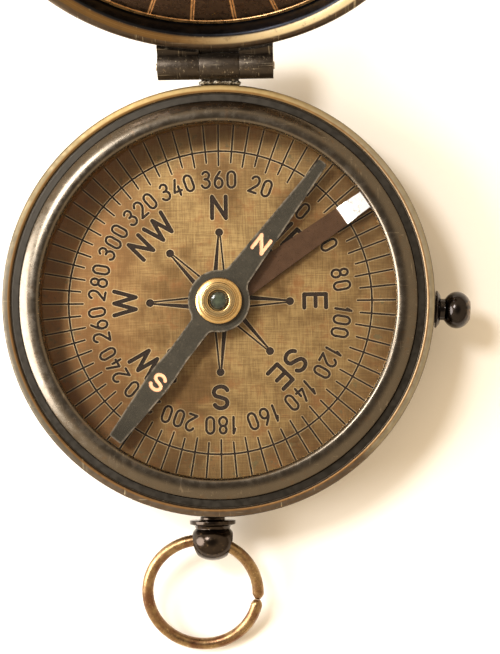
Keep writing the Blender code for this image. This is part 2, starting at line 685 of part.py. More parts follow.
def lifter_lever():
    look = {"colour": (0.3, 0.17, 0.09), "roughness": 0.45}
    hub = circle(LEVER_RING_OUTER_RADIUS, segments=48)
    lever = plate("lifter_lever", [hub], LEVER_BOTTOM, LEVER_RING_TOP, **look)
    strip = lever_strip_helper("lever_strip")
    combine(strip, lever_arm_helper("lever_arm"), "INTERSECT")
    combine(lever, strip, "UNION")
    inner, outer = LEVER_TAIL_RADII
    tail = plate(
        "lever_tail",
        [ring_sector(inner, outer, LEVER_BEARING - 2.0, LEVER_TAIL_END_BEARING, 12)],
        LEVER_BOTTOM + LEVER_TAIL_RISE,
        LEVER_TOP + LEVER_TAIL_RISE,
    )
    combine(lever, tail, "UNION")
    hub_mesh = cylinder_mesh("lever_hub_hole", LEVER_RING_INNER_RADIUS, CUTTER_LENGTH)
    hub_hole = add_object("lever_hub_hole", hub_mesh)
    hub_hole.location.z = LEVER_TOP
    combine(lever, hub_hole, "DIFFERENCE")
    fulcrum_mesh = cylinder_mesh("lever_fulcrum_hole", FULCRUM_HOLE_RADIUS, CUTTER_LENGTH, 16)
    fulcrum_hole = add_object("lever_fulcrum_hole", fulcrum_mesh)
    fulcrum_hole.location = (*point_at(FULCRUM_RADIUS, FULCRUM_BEARING), LEVER_TOP + LEVER_TAIL_RISE)
    combine(lever, fulcrum_hole, "DIFFERENCE")
    return lever


# ---- Button


def check_button():
    profile = [(0.0, KNOB_END), (KNOB_FLAT_RADIUS, KNOB_END)]
    flat_angle = math.degrees(math.acos(KNOB_FLAT_RADIUS / KNOB_RADIUS))
    profile += arc(0.0, KNOB_CENTRE, KNOB_RADIUS, KNOB_HALF_LENGTH, flat_angle, KNOB_NECK_ANGLE, 9)
    profile += [
        (SHANK_RADIUS, KNOB_START),
        (SHANK_RADIUS, SHANK_INNER_END),
        (ROD_RADIUS, SHANK_INNER_END),
        (ROD_RADIUS, ROD_CONE),
        (ROD_TIP_RADIUS, ROD_TIP),
        (0.0, ROD_TIP),
    ]
    button = turned("check_button", profile, SMALL_SEGMENTS, colour=(0.035, 0.03, 0.028), roughness=0.15)
    button.parent = BUTTON_AXIS
    return button


def button_retainer():
    profile = [
        (ROD_HOLE_RADIUS, RETAINER_OUTER_FACE),
        (RETAINER_RADIUS, RETAINER_OUTER_FACE),
        (RETAINER_RADIUS, RETAINER_INNER_FACE),
        (ROD_HOLE_RADIUS, RETAINER_INNER_FACE),
    ]
    look = {"colour": (0.5, 0.45, 0.38)}
    return turned("button_retainer", profile, 24, closed=True, parent=BUTTON_AXIS, **look)


def button_spring():
    steps_per_turn = 12
    steps = round(SPRING_TURNS * steps_per_turn)
    points = []
    for step in range(steps + 1):
        angle = 2 * math.pi * step / steps_per_turn
        along = SPRING_START + (SPRING_END - SPRING_START) * step / steps
        radius = SPRING_COIL_RADIUS
        points.append((radius * math.cos(angle), radius * math.sin(angle), along))
    look = {"colour": (0.45, 0.45, 0.45)}
    return wire("button_spring", points, SPRING_WIRE_RADIUS, parent=BUTTON_AXIS, **look)


# ---- Lid


def lid_shell():
    dome_edge = CASE_RADIUS - LID_TOP_FILLET
    dome_edge_height = LID_SHOULDER_HEIGHT + LID_TOP_FILLET
    profile = []
    inner_dome = []
    dome_steps = 3
    for step in range(dome_steps):
        share = step / dome_steps
        drop = (LID_DOME_HEIGHT - dome_edge_height) * share**2
        profile.append((dome_edge * share, LID_DOME_HEIGHT - drop))
        inner_dome.append((LID_FLOOR_RADIUS * share, LID_DOME_HEIGHT - drop - LID_THICKNESS))
    profile += arc(dome_edge, LID_SHOULDER_HEIGHT, LID_TOP_FILLET, LID_TOP_FILLET, 90, 0, 4)
    edge_width = CASE_RADIUS - LID_EDGE_RADIUS
    edge_height = LID_WALL_START - LID_RIM_HEIGHT
    profile += arc(LID_EDGE_RADIUS, LID_WALL_START, edge_width, edge_height, 0, -90, 3)
    mouth_rise = LID_MOUTH_HEIGHT - LID_RIM_HEIGHT
    mouth_width = LID_EDGE_RADIUS - LID_MOUTH_RADIUS
    profile += arc(LID_EDGE_RADIUS, LID_MOUTH_HEIGHT, mouth_width, mouth_rise, -90, -180, 4)[1:]
    profile += [
        (LID_MOUTH_RADIUS, LID_RECESS_HEIGHT),
        (LID_FLOOR_RADIUS, LID_RECESS_HEIGHT),
        (LID_FLOOR_RADIUS, dome_edge_height - LID_THICKNESS),
    ]
    profile += list(reversed(inner_dome))
    look = {"colour": (0.16, 0.11, 0.07), "roughness": 0.35}
    shell = turned("lid_shell", profile, LARGE_SEGMENTS, parent=LID_AXIS, **look)
    shell.location = LID_OFFSET
    return shell


def lid_plate():
    profile = [
        (0.0, LID_PLATE_TOP),
        (LID_PLATE_RADIUS, LID_PLATE_TOP),
        (LID_PLATE_RADIUS, LID_PLATE_BOTTOM),
        (0.0, LID_PLATE_BOTTOM),
    ]
    look = {"colour": (0.07, 0.04, 0.025), "roughness": 0.3}
    disc = turned("lid_plate", profile, LARGE_SEGMENTS, parent=LID_AXIS, **look)
    disc.location = LID_OFFSET
    return disc


def lid_hinge_leaf():
    origin = (0.0, HINGE_Y, HINGE_Z)
    look = {"colour": (0.09, 0.08, 0.065)}
    leaf = rod_along_x("lid_hinge_leaf", KNUCKLE_RADIUS, LEFT_KNUCKLE, parent=LID_AXIS, **look)
    right = rod_along_x("right_knuckle", KNUCKLE_RADIUS, RIGHT_KNUCKLE, parent=LID_AXIS)
    blocks = (
        ("left_leaf", LEFT_KNUCKLE, LID_LEAF_BOTTOM),
        ("right_leaf", RIGHT_KNUCKLE, LID_LEAF_BOTTOM),
        ("middle_leaf", (LEFT_KNUCKLE[0], RIGHT_KNUCKLE[1]), LID_LEAF_NOTCH),
    )
    for name, x_ends, bottom in blocks:
        combine(leaf, hinge_leaf_helper(name, x_ends, bottom, LID_LEAF_TOP, LID_AXIS, origin), "UNION")
    combine(leaf, right, "UNION")
    combine(leaf, wall_relief("lid_wall_relief", LID_AXIS, origin), "DIFFERENCE")
    bore = rod_along_x("lid_knuckle_bore", KNUCKLE_BORE_RADIUS, HINGE_BORE_ENDS, parent=LID_AXIS)
    combine(leaf, bore, "DIFFERENCE")
    return leaf


def hinge_pin():
    return rod_along_x("hinge_pin", PIN_RADIUS, PIN_ENDS, parent=LID_AXIS, colour=(0.3, 0.25, 0.17))


# ---- Bow


def bow_ring():
    """A split ring through the pendant's ball, drawn flat; its frame leans it down to the table."""
    steps = 44
    start = BOW_GAP_ANGLE + BOW_GAP_WIDTH / 2
    sweep = 360.0 - BOW_GAP_WIDTH
    points = []
    for step in range(steps + 1):
        angle = math.radians(start + sweep * step / steps)
        x = BOW_RADIUS * math.cos(angle) - BOW_SIDE_SHIFT
        y = -BOW_RADIUS * math.sin(angle) - BOW_CENTRE_REACH
        points.append((x, y, 0.0))
    look = {"colour": (0.33, 0.2, 0.09), "roughness": 0.3}
    return wire("bow_ring", points, BOW_WIRE_RADIUS, end_radii=BOW_END_SIZES, parent=BOW_AXIS, **look)


def bow_tilt():
    """How far the bow leans down from level before its far side rests on the table."""
    drop = PENDANT_HEIGHT - BOW_WIRE_RADIUS - BOW_TABLE_CLEARANCE
    return math.asin(drop / (BOW_RADIUS + BOW_CENTRE_REACH))


NEEDLE_AXIS = add_frame(
    "needle_axis", (0.0, 0.0, 0.0), Matrix.Rotation(math.radians(-NEEDLE_BEARING), 4, "Z")
)
LEVER_DIRECTION = Matrix.Rotation(math.radians(90.0 - LEVER_BEARING), 4, "Z")
BUTTON_AXIS = add_frame("button_axis", BUTTON_FRAME.translation, BUTTON_FRAME.to_3x3().to_4x4())
LID_AXIS = add_frame(
    "lid_axis", (0.0, HINGE_Y, HINGE_Z), Matrix.Rotation(math.radians(-LID_OPEN_ANGLE), 4, "X")
)
LID_OFFSET = (0.0, -HINGE_Y, -HINGE_Z)
BOW_AXIS = add_frame(
    "bow_axis", (PENDANT_X, -BOW_AXIS_DISTANCE, PENDANT_HEIGHT), Matrix.Rotation(bow_tilt(), 4, "X")
)

FIXED_PIECES = (
    case_shell,
    dial_spacer_ring,
    dial_plate,
    glass_seat_ring,
    cover_glass,
    bezel_ring,
    pivot_post,
    pivot_nut,
    fulcrum_stud,
    button_collar,
    pendant,
    case_hinge_knuckle,
)
MOVING_PIECES = (
    needle_bar,
    needle_cap,
    needle_jewel,
    lifter_lever,
    check_button,
    button_retainer,
    button_spring,
    lid_shell,
    lid_plate,
    lid_hinge_leaf,
    hinge_pin,
    bow_ring,
)
for make_piece in FIXED_PIECES + MOVING_PIECES:
    make_piece()
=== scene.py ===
"""The looks of a pocket compass: a round brass case with a hinged lid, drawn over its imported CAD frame.

Sizes are in millimetres in the part's own frame: the origin is the centre of the back, +Z points up
through the dial, +Y is the dial's north and points at the hinge. Bearings run clockwise from north.
Sizes repeat the CAD source's. Every built piece carries a "place" attribute, its points in the frame
the piece is drawn in, in millimetres, which the materials read for wear, turning lines and tarnish.
"""

import math

import bmesh
import bpy
import numpy as np
from mathutils import Matrix, Vector, noise
from mathutils.geometry import delaunay_2d_cdt


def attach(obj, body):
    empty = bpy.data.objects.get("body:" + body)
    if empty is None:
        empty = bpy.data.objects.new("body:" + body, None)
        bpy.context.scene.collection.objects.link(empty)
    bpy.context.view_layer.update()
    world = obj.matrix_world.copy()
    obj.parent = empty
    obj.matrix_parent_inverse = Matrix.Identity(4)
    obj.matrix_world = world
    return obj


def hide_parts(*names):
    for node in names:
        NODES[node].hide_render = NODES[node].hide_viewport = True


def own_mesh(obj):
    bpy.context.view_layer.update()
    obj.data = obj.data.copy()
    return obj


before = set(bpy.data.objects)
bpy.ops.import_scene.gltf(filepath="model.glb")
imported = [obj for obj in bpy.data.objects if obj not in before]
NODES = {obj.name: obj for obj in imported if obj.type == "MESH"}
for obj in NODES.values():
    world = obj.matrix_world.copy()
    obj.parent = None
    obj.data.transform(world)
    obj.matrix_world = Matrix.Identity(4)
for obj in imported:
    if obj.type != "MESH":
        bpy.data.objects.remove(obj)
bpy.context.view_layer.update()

MM = 0.001
ROUND = 240
DETAIL = 64
IDENTITY = Matrix.Identity(4)

# Case, heights in millimetres above the back
CASE_RADIUS = 37.5
CASE_WALL_RADIUS = 37.3
CASE_BORE_RADIUS = 34.5
LEDGE_HEIGHT = 12.2
RIM_HEIGHT = 12.5
FLOOR_HEIGHT = 1.2
BACK_FILLET = 3.0
LEDGE_GROOVE = ((35.66, 0.0), (35.76, 0.0), (35.84, 0.1), (35.94, 0.1), (36.0, 0.02))
BAND_DROPS = ((0.0, 2.3), (0.05, 2.42), (0.32, 2.5), (0.32, 2.62), (0.2, 2.72))
BACK_LINE = ((30.6, 0.0), (30.45, 0.12), (30.15, 0.12), (30.0, 0.0))
BUTTON_HOLE_RADIUS, PENDANT_HOLE_RADIUS = 2.7, 1.6
DIAL_RADIUS = 34.2
DIAL_BOTTOM, DIAL_TOP = 4.2, 5.0
STEM_HOLE_RADIUS = 1.4
SEAT_BOTTOM, SEAT_TOP, SEAT_INNER_RADIUS = 5.3, 10.4, 31.6
SEAT_GAP_BEARINGS = (49.0, 99.0)
GLASS_BOTTOM, GLASS_TOP, GLASS_RADIUS = 10.7, 11.7, 33.2
BEZEL_INNER_RADIUS, BEZEL_SKIRT_RADIUS, BEZEL_OUTER_RADIUS = 30.8, 33.5, 34.44
BEZEL_LIP_HEIGHT, BEZEL_CROWN_HEIGHT = 12.0, 13.5
BEZEL_CORNER_RADIUS, BEZEL_CORNER_DROP, BEZEL_OUTER_DROP = 0.85, 0.88, 0.85
BEZEL_PEAK_OFFSET = 0.35

# Dial engraving
TICK_SPACING = 5
RING_LINE_RADIUS = 26.88
TEN_DEGREE_TICK = (24.35, 33.6)
FIVE_DEGREE_TICK = (24.9, 33.6)
TICK_HALF_WIDTH = 0.18
NUMBER_SPACING = 20
NUMBER_RADII = (20.1, 23.45)
NUMBER_HALF_STROKE = 0.24
DIGIT_WIDTH, DIGIT_GAP = 1.85, 0.42
COMPASS_POINTS = ("N", "NE", "E", "SE", "S", "SW", "W", "NW")
LETTER_RADII = (14.55, 19.15)
LETTER_HALF_STROKE, LETTER_GAP = 0.38, 0.7
POINTER_DOT_RADIUS, POINTER_DOT_REACH = 0.72, 12.4
POINTER_FOOT_REACH, POINTER_TIP_HALF = 4.4, 0.16
POINTER_SIDES = ((-0.8, 0.46), (0.86, 0.2))
ENGRAVING_DEPTH = 0.16
ENGRAVING_SLOPE = 0.06

# Needle
NEEDLE_BEARING = 37.5
NEEDLE_BOTTOM, NEEDLE_TOP = 7.8, 8.3
NEEDLE_HUB_RADIUS, NEEDLE_BORE_RADIUS = 5.45, 2.0
NORTH_ARM = ((5.5, 2.25), (30.5, 0.85))
SOUTH_ARM = ((5.5, 1.9), (11.8, 1.8), (16.0, 2.1), (18.5, 2.1), (30.3, 1.3))
NEEDLE_RIM_WIDTH = 0.35
NEEDLE_LETTERS = (("N", 12.4), ("S", -17.8))
NEEDLE_LETTER_WIDTH, NEEDLE_LETTER_HEIGHT, NEEDLE_LETTER_HALF_STROKE = 1.95, 2.75, 0.34
CAP_PROFILE = (
    *((1.85, 10.3), (3.1, 10.3), (3.1, 9.5), (3.45, 9.45), (4.1, 9.2), (4.1, 8.6)),
    *((1.7, 8.6), (1.7, 7.5), (1.1, 7.5), (1.1, 9.2), (1.85, 9.2)),
)
JEWEL_PROFILE = (
    *((0.0, 9.95), (0.7, 9.93), (1.25, 9.86), (1.5, 9.72)),
    *((1.55, 9.6), (1.55, 9.4), (0.5, 9.4), (0.0, 9.65)),
)

# Button and pendant: radius, and distance from the dial's centre
BUTTON_BEARING, BUTTON_HEIGHT = 93.0, 8.5
BUSH_PROFILE = (
    *((2.16, 38.55), (2.5, 38.55), (3.24, 38.0), (3.24, 37.75), (2.4, 37.75)),
    *((2.4, 34.75), (1.1, 34.75), (1.1, 35.55), (2.16, 35.55)),
)
KNOB_RADIUS, KNOB_HALF_LENGTH, KNOB_CENTRE = 3.21, 2.6, 41.5
KNOB_FLAT_RADIUS, KNOB_END, KNOB_NECK_ANGLE = 1.7, 43.75, -54.0
KNOB_STEM = ((1.86, 39.15), (1.86, 37.5), (0.8, 37.5), (0.8, 33.2), (0.15, 31.4), (0.0, 31.4))
SPRING_ENDS, SPRING_TURNS = (35.65, 37.4), 2.5
SPRING_COIL_RADIUS, SPRING_WIRE_RADIUS = 1.4, 0.15
PENDANT_X, PENDANT_HEIGHT = -1.6, 6.2
BALL_RADIUS, BALL_DEPTH, BALL_CENTRE, BALL_WAIST_RADIUS = 3.95, 3.35, 42.0, 2.95
PENDANT_STEM = (
    *((3.2, 39.25), (4.0, 39.0), (4.0, 38.35), (2.16, 38.25)),
    *((2.16, 37.75), (1.3, 37.75), (1.3, 34.85), (0.0, 34.85)),
)
BOW_AXIS_DISTANCE, BOW_HOLE_RADIUS = 42.5, 2.15
BOW_RADIUS, BOW_WIRE_RADIUS = 9.73, 1.02
BOW_START_ANGLE, BOW_SWEEP = 9.0, 358.0
BOW_SIDE_SHIFT, BOW_CENTRE_REACH = 2.0, 8.95
BOW_TILT = 15.83

# Hinge and lid, with the lid's heights as in the closed compass
HINGE_Y, HINGE_Z = 40.6, 12.65
KNUCKLE_RADIUS, KNUCKLE_ROOM, HINGE_GAP = 2.3, 0.06, 0.24
LEFT_KNUCKLE, CASE_KNUCKLE, RIGHT_KNUCKLE = (-9.95, -2.75), (-2.45, 4.0), (4.3, 10.1)
PIN_ENDS, PIN_RADIUS, PIN_BORE_RADIUS = (-10.3, 10.35), 0.7, 1.0
LEAF_FIT_RADIUS, LEAF_OUTER_Y = 37.8, 39.6
CASE_LEAF = (8.4, 12.2)
LID_LEAF_BOTTOM, LID_LEAF_WRAP, LID_LEAF_TOP = 13.1, 13.9, 17.0
SOLDER_RADIUS, SOLDER_REACH = 0.42, 0.12
CASE_SOLDER, LID_SOLDER = ((-2.9, 4.4), 11.95), ((-9.6, 9.8), 16.9)
LID_OPEN_ANGLE = 125.0
LID_RADIUS = 37.42
LID_RIM_HEIGHT, LID_EDGE_RADIUS, LID_WALL_START = 12.8, 36.4, 13.6
LID_MOUTH_RADIUS, LID_MOUTH_HEIGHT = 34.1, 13.9
LID_RECESS_HEIGHT, LID_FLOOR_RADIUS = 16.9, 32.6
LID_SHOULDER_HEIGHT, LID_TOP_FILLET, LID_DOME_HEIGHT = 16.3, 2.6, 19.6
LID_THICKNESS = 1.0
LID_PLATE_RADIUS, LID_PLATE_BOTTOM, LID_PLATE_TOP = 33.8, 16.0, 16.6
LID_CELLS = 28
LID_RING_LINES = (33.2, 21.6, 12.0)
LID_NUMBER_RADII, LID_NUMBER_HALF_STROKE = (24.2, 26.6), 0.15
LID_DIGIT_WIDTH, LID_DIGIT_GAP = 1.35, 0.35


# ---- Places


def turn(degrees, axis):
    return Matrix.Rotation(math.radians(degrees), 4, axis)


def shift(x, y, z):
    return Matrix.Translation((x, y, z))


def point_at(radius, bearing):
    angle = math.radians(bearing)
    return radius * math.sin(angle), radius * math.cos(angle)


def outward(bearing, height, offset_x=0.0):
    """A frame whose +Z points out of the case wall along a bearing."""
    return shift(offset_x, 0.0, height) @ turn(90.0 - bearing, "Z") @ turn(90.0, "Y")


HINGE_PLACE = shift(0.0, HINGE_Y, HINGE_Z)
LID_PLACE = HINGE_PLACE @ turn(-LID_OPEN_ANGLE, "X") @ shift(0.0, -HINGE_Y, -HINGE_Z)
NEEDLE_PLACE = turn(-NEEDLE_BEARING, "Z")
BUTTON_PLACE = outward(BUTTON_BEARING, BUTTON_HEIGHT)
PENDANT_PLACE = outward(180.0, PENDANT_HEIGHT, PENDANT_X)
BOW_PLACE = shift(PENDANT_X, -BOW_AXIS_DISTANCE, PENDANT_HEIGHT) @ turn(BOW_TILT, "X")


# ---- Mesh tools: meshes are drawn in millimetres in a piece's own frame


def arc(centre_r, centre_z, radius_r, radius_z, start, end, steps):
    points = []
    for step in range(steps + 1):
        angle = math.radians(start + (end - start) * step / steps)
        points.append((centre_r + radius_r * math.cos(angle), centre_z + radius_z * math.sin(angle)))
    return points


def softened(points, size, steps=3, closed=False):
    """The path with each corner rounded off, by at most size along its two sides."""
    result = []
    count = len(points)
    for index, point in enumerate(points):
        if not closed and index in (0, count - 1):
            result.append(point)
            continue
        here = Vector(point)
        before, after = Vector(points[index - 1]) - here, Vector(points[(index + 1) % count]) - here
        if before.angle(after) > math.radians(155.0):
            result.append(point)
            continue
        start = here + before.normalized() * min(size, before.length * 0.45)
        end = here + after.normalized() * min(size, after.length * 0.45)
        for step in range(steps + 1):
            share = step / steps
            result.append(tuple(start.lerp(here, share).lerp(here.lerp(end, share), share)))
    return result


def lathe(profile, segments=ROUND, closed=False):
    """A body of revolution about Z from (radius, height) points; a closed profile makes a ring."""
    shape = bmesh.new()
    rings = []
    for radius, height in profile:
        if radius < 1e-6:
            rings.append([shape.verts.new((0.0, 0.0, height))])
            continue
        ring = []
        for index in range(segments):
            angle = 2 * math.pi * index / segments
            ring.append(shape.verts.new((radius * math.cos(angle), radius * math.sin(angle), height)))
        rings.append(ring)
    pairs = list(zip(rings, rings[1:]))
    if closed:
        pairs.append((rings[-1], rings[0]))
    for low, high in pairs:
        for index in range(segments):
            after = (index + 1) % segments
            corners = [(low, index), (low, after), (high, after), (high, index)]
            unique = list(dict.fromkeys(ring[place % len(ring)] for ring, place in corners))
            if len(unique) > 2:
                shape.faces.new(unique)
    bmesh.ops.recalc_face_normals(shape, faces=shape.faces)
    return shape


def tube(path, radii, sides=20):
    """A round wire through the points, with flat-capped ends; the radii follow the points."""
    shape = bmesh.new()
    rings = []
    for index, point in enumerate(path):
        ahead = Vector(path[min(index + 1, len(path) - 1)]) - Vector(path[max(index - 1, 0)])
        frame_at = ahead.to_track_quat("Z", "Y").to_matrix()
        ring = []
        for side in range(sides):
            angle = 2 * math.pi * side / sides
            offset = frame_at @ Vector((math.cos(angle), math.sin(angle), 0.0))
            ring.append(shape.verts.new(Vector(point) + offset * radii[index]))
        rings.append(ring)
    for low, high in zip(rings, rings[1:]):
        for side in range(sides):
            after = (side + 1) % sides
            shape.faces.new([low[side], low[after], high[after], high[side]])
    shape.faces.new(rings[0])
    shape.faces.new(rings[-1])
    bmesh.ops.recalc_face_normals(shape, faces=shape.faces)
    return shape


def extruded(outline, low, high, axis="Z"):
    """A flat piece with the outline as its edge."""
    shape = bmesh.new()
    bottom = [shape.verts.new((x, y, low)) for x, y in outline]
    top = [shape.verts.new((x, y, high)) for x, y in outline]
    shape.faces.new(bottom)
    shape.faces.new(top)
    for index in range(len(outline)):
        after = (index + 1) % len(outline)
        shape.faces.new([bottom[index], bottom[after], top[after], top[index]])
    bmesh.ops.recalc_face_normals(shape, faces=shape.faces)
    if axis == "X":
        shape.transform(Matrix(((0, 0, 1, 0), (1, 0, 0, 0), (0, 1, 0, 0), (0, 0, 0, 1))))
    return shape


def circle(radius, centre=(0.0, 0.0), segments=DETAIL):
    points = []
    for index in range(segments):
        angle = 2 * math.pi * index / segments
        points.append((centre[0] + radius * math.cos(angle), centre[1] + radius * math.sin(angle)))
    return points


def temporary(shape):
    mesh = bpy.data.meshes.new("tool")
    shape.to_mesh(mesh)
    shape.free()
    tool = bpy.data.objects.new("tool", mesh)
    bpy.context.scene.collection.objects.link(tool)
    return tool


def combined(shape, others, operation):
    """The shape after one exact Boolean with each of the others."""
    body = temporary(shape)
    tools = [temporary(other) for other in others]
    for tool in tools:
        boolean = body.modifiers.new(operation, "BOOLEAN")
        boolean.operation = operation
        boolean.object = tool
        boolean.solver = "EXACT"
    bpy.context.view_layer.update()
    result = bmesh.new()
    result.from_object(body, bpy.context.evaluated_depsgraph_get())
    for obj in (body, *tools):
        bpy.data.objects.remove(obj, do_unlink=True)
    return result


def bevelled(shape, width):
    """The shape with its sharp edges rounded."""
    bmesh.ops.remove_doubles(shape, verts=shape.verts, dist=0.0005)
    flat, sharp = math.radians(1.0), math.radians(30.0)
    bmesh.ops.dissolve_limit(shape, angle_limit=flat, verts=shape.verts, edges=shape.edges, delimit={"NORMAL"})
    edges = [edge for edge in shape.edges if len(edge.link_faces) == 2 and edge.calc_face_angle(0.0) > sharp]
    style = {"segments": 2, "profile": 0.6, "affect": "EDGES", "clamp_overlap": True}
    bmesh.ops.bevel(shape, geom=edges, offset=width, **style)
    return shape


def piece(name, shape, material, body, replaces=(), place=IDENTITY, smooth=28.0):
    """Makes a shown piece from a shape drawn in millimetres, and puts it in its place on a body."""
    mesh = bpy.data.meshes.new(name)
    shape.to_mesh(mesh)
    shape.free()
    own = np.empty(len(mesh.vertices) * 3, np.float32)
    mesh.vertices.foreach_get("co", own)
    mesh.attributes.new("place", "FLOAT_VECTOR", "POINT").data.foreach_set("vector", own)
    mesh.transform(Matrix.Scale(MM, 4) @ place)
    for entry in material if isinstance(material, list) else [material]:
        mesh.materials.append(entry)
    mesh.shade_smooth()
    mesh.set_sharp_from_angle(angle=math.radians(smooth))
    obj = bpy.data.objects.new(name, mesh)
    bpy.context.scene.collection.objects.link(obj)
    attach(obj, body)
    if replaces:
        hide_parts(*replaces)
    return obj


# ---- Engraving: lines cut into a flat face


def segment_rows(strokes):
    """Start, end and both half widths of every straight bit of every stroke."""
    rows = []
    for stroke in strokes:
        if len(stroke) == 1:
            rows.append((*stroke[0][:2], *stroke[0][:2], stroke[0][2], stroke[0][2]))
        for (ax, ay, aw), (bx, by, bw) in zip(stroke, stroke[1:]):
            rows.append((ax, ay, bx, by, aw, bw))
    return np.array(rows)


def outside_distance(points, strokes):
    """How far each point lies outside the nearest stroke's edge; negative inside."""
    rows = segment_rows(strokes)
    start, along = rows[:, :2], rows[:, 2:4] - rows[:, :2]
    length = np.maximum((along**2).sum(1), 1e-12)
    nearest = np.full(len(points), 1e9)
    for first in range(0, len(points), 2000):
        part = points[first : first + 2000, None, :] - start[None]
        share = np.clip((part * along[None]).sum(2) / length, 0.0, 1.0)
        gap = np.linalg.norm(part - share[..., None] * along[None], axis=2)
        gap -= rows[:, 4] + share * (rows[:, 5] - rows[:, 4])
        nearest[first : first + 2000] = gap.min(1)
    return nearest


def stroke_loops(stroke, grow):
    """Closed outlines round a stroke, wider by grow on each side. A stroke that ends where it began has two."""
    places = np.array([point[:2] for point in stroke])
    widths = np.array([point[2] for point in stroke]) + grow
    if len(stroke) == 1:
        return [circle(widths[0], places[0], 28)]
    looped = np.allclose(places[0], places[-1])
    ahead = np.roll(places, -1, 0) - places
    ahead[-1] = ahead[0] if looped else ahead[-2]
    behind = np.roll(ahead, 1, 0)
    behind[0] = ahead[-2] if looped else ahead[0]
    tangent = ahead / np.linalg.norm(ahead, axis=1)[:, None] + behind / np.linalg.norm(behind, axis=1)[:, None]
    tangent /= np.linalg.norm(tangent, axis=1)[:, None]
    normal = np.stack([-tangent[:, 1], tangent[:, 0]], 1)
    left, right = places + normal * widths[:, None], places - normal * widths[:, None]
    if looped:
        return [left[:-1].tolist(), right[:-1].tolist()]
    caps = []
    for end, direction, width in ((-1, tangent[-1], widths[-1]), (0, -tangent[0], widths[0])):
        side = np.array([-direction[1], direction[0]])
        angles = np.radians(np.linspace(60.0, -60.0, 5))
        caps.append([places[end] + width * (math.cos(a) * direction + math.sin(a) * side) for a in angles])
    return [np.concatenate([left, caps[0], right[::-1], caps[1]]).tolist()]


def engraved_face(borders, strokes, top, depth, slope, halo=0.16):
    """The upper face between closed borders with the strokes cut into it, and for each point how near
    it is to the edge of a cut. Faces deep in a cut take material 1."""
    loops = list(borders)
    for stroke in strokes:
        for grow in (halo, 0.0, -slope):
            if min(point[2] for point in stroke) + grow > 0.01:
                loops += stroke_loops(stroke, grow)
    corners, edges = [], []
    for loop in loops:
        first = len(corners)
        corners += [Vector(point) for point in loop]
        edges += [(first + index, first + (index + 1) % len(loop)) for index in range(len(loop))]
    points, _, faces, *_ = delaunay_2d_cdt(corners, edges, [], 1, 1e-4, False)
    flat = np.array(points, float)
    outside = outside_distance(flat, strokes)
    deep = np.clip(-outside / slope, 0.0, 1.0)
    edge = np.clip(1.0 - np.abs(outside) / halo, 0.0, 1.0)
    centres = flat[np.array(faces)].mean(1)
    in_cut = outside_distance(centres, strokes) < -0.45 * slope
    shape = bmesh.new()
    verts = [shape.verts.new((x, y, top - depth * sunk)) for (x, y), sunk in zip(flat, deep)]
    for corner_indices, is_cut in zip(faces, in_cut):
        face = shape.faces.new([verts[index] for index in corner_indices])
        face.material_index = int(is_cut)
    return shape, edge


def mark_edges(shape, values):
    """Stores a value for each point as cut_edge, which the materials read."""
    layer = shape.verts.layers.float.new("cut_edge")
    for vert, value in zip(shape.verts, values):
        vert[layer] = float(value)


def keep_ring(shape, inner, outer):
    """Removes the faces of a triangulated face that lie in its hole or outside its edge."""
    wrong = []
    for face in shape.faces:
        centre = face.calc_center_median()
        if not inner < math.hypot(centre.x, centre.y) < outer:
            wrong.append(face)
    bmesh.ops.delete(shape, geom=wrong, context="FACES_ONLY")


def closed_below(shape, bottom, chamfer=0.06):
    """Gives a face its sides and its underside, with the upper edge a little rounded."""
    for face in shape.faces:
        if face.normal.z < 0:
            face.normal_flip()
    rim = [edge for edge in shape.edges if edge.is_boundary]
    for drop in (chamfer, None):
        made = bmesh.ops.extrude_edge_only(shape, edges=rim)["geom"]
        for vert in (item for item in made if isinstance(item, bmesh.types.BMVert)):
            vert.co.z = bottom if drop is None else vert.co.z - drop
        rim = [item for item in made if isinstance(item, bmesh.types.BMEdge) and item.is_boundary]
    bmesh.ops.holes_fill(shape, edges=rim, sides=0)
    bmesh.ops.recalc_face_normals(shape, faces=shape.faces)
    return shape


# ---- Glyphs, as strokes in a box one unit wide and one high


def bow_line(cx, cy, rx, ry, start, end, steps=14):
    points = []
    for step in range(steps + 1):
        angle = math.radians(start + (end - start) * step / steps)
        points.append((cx + rx * math.cos(angle), cy + ry * math.sin(angle)))
    return points


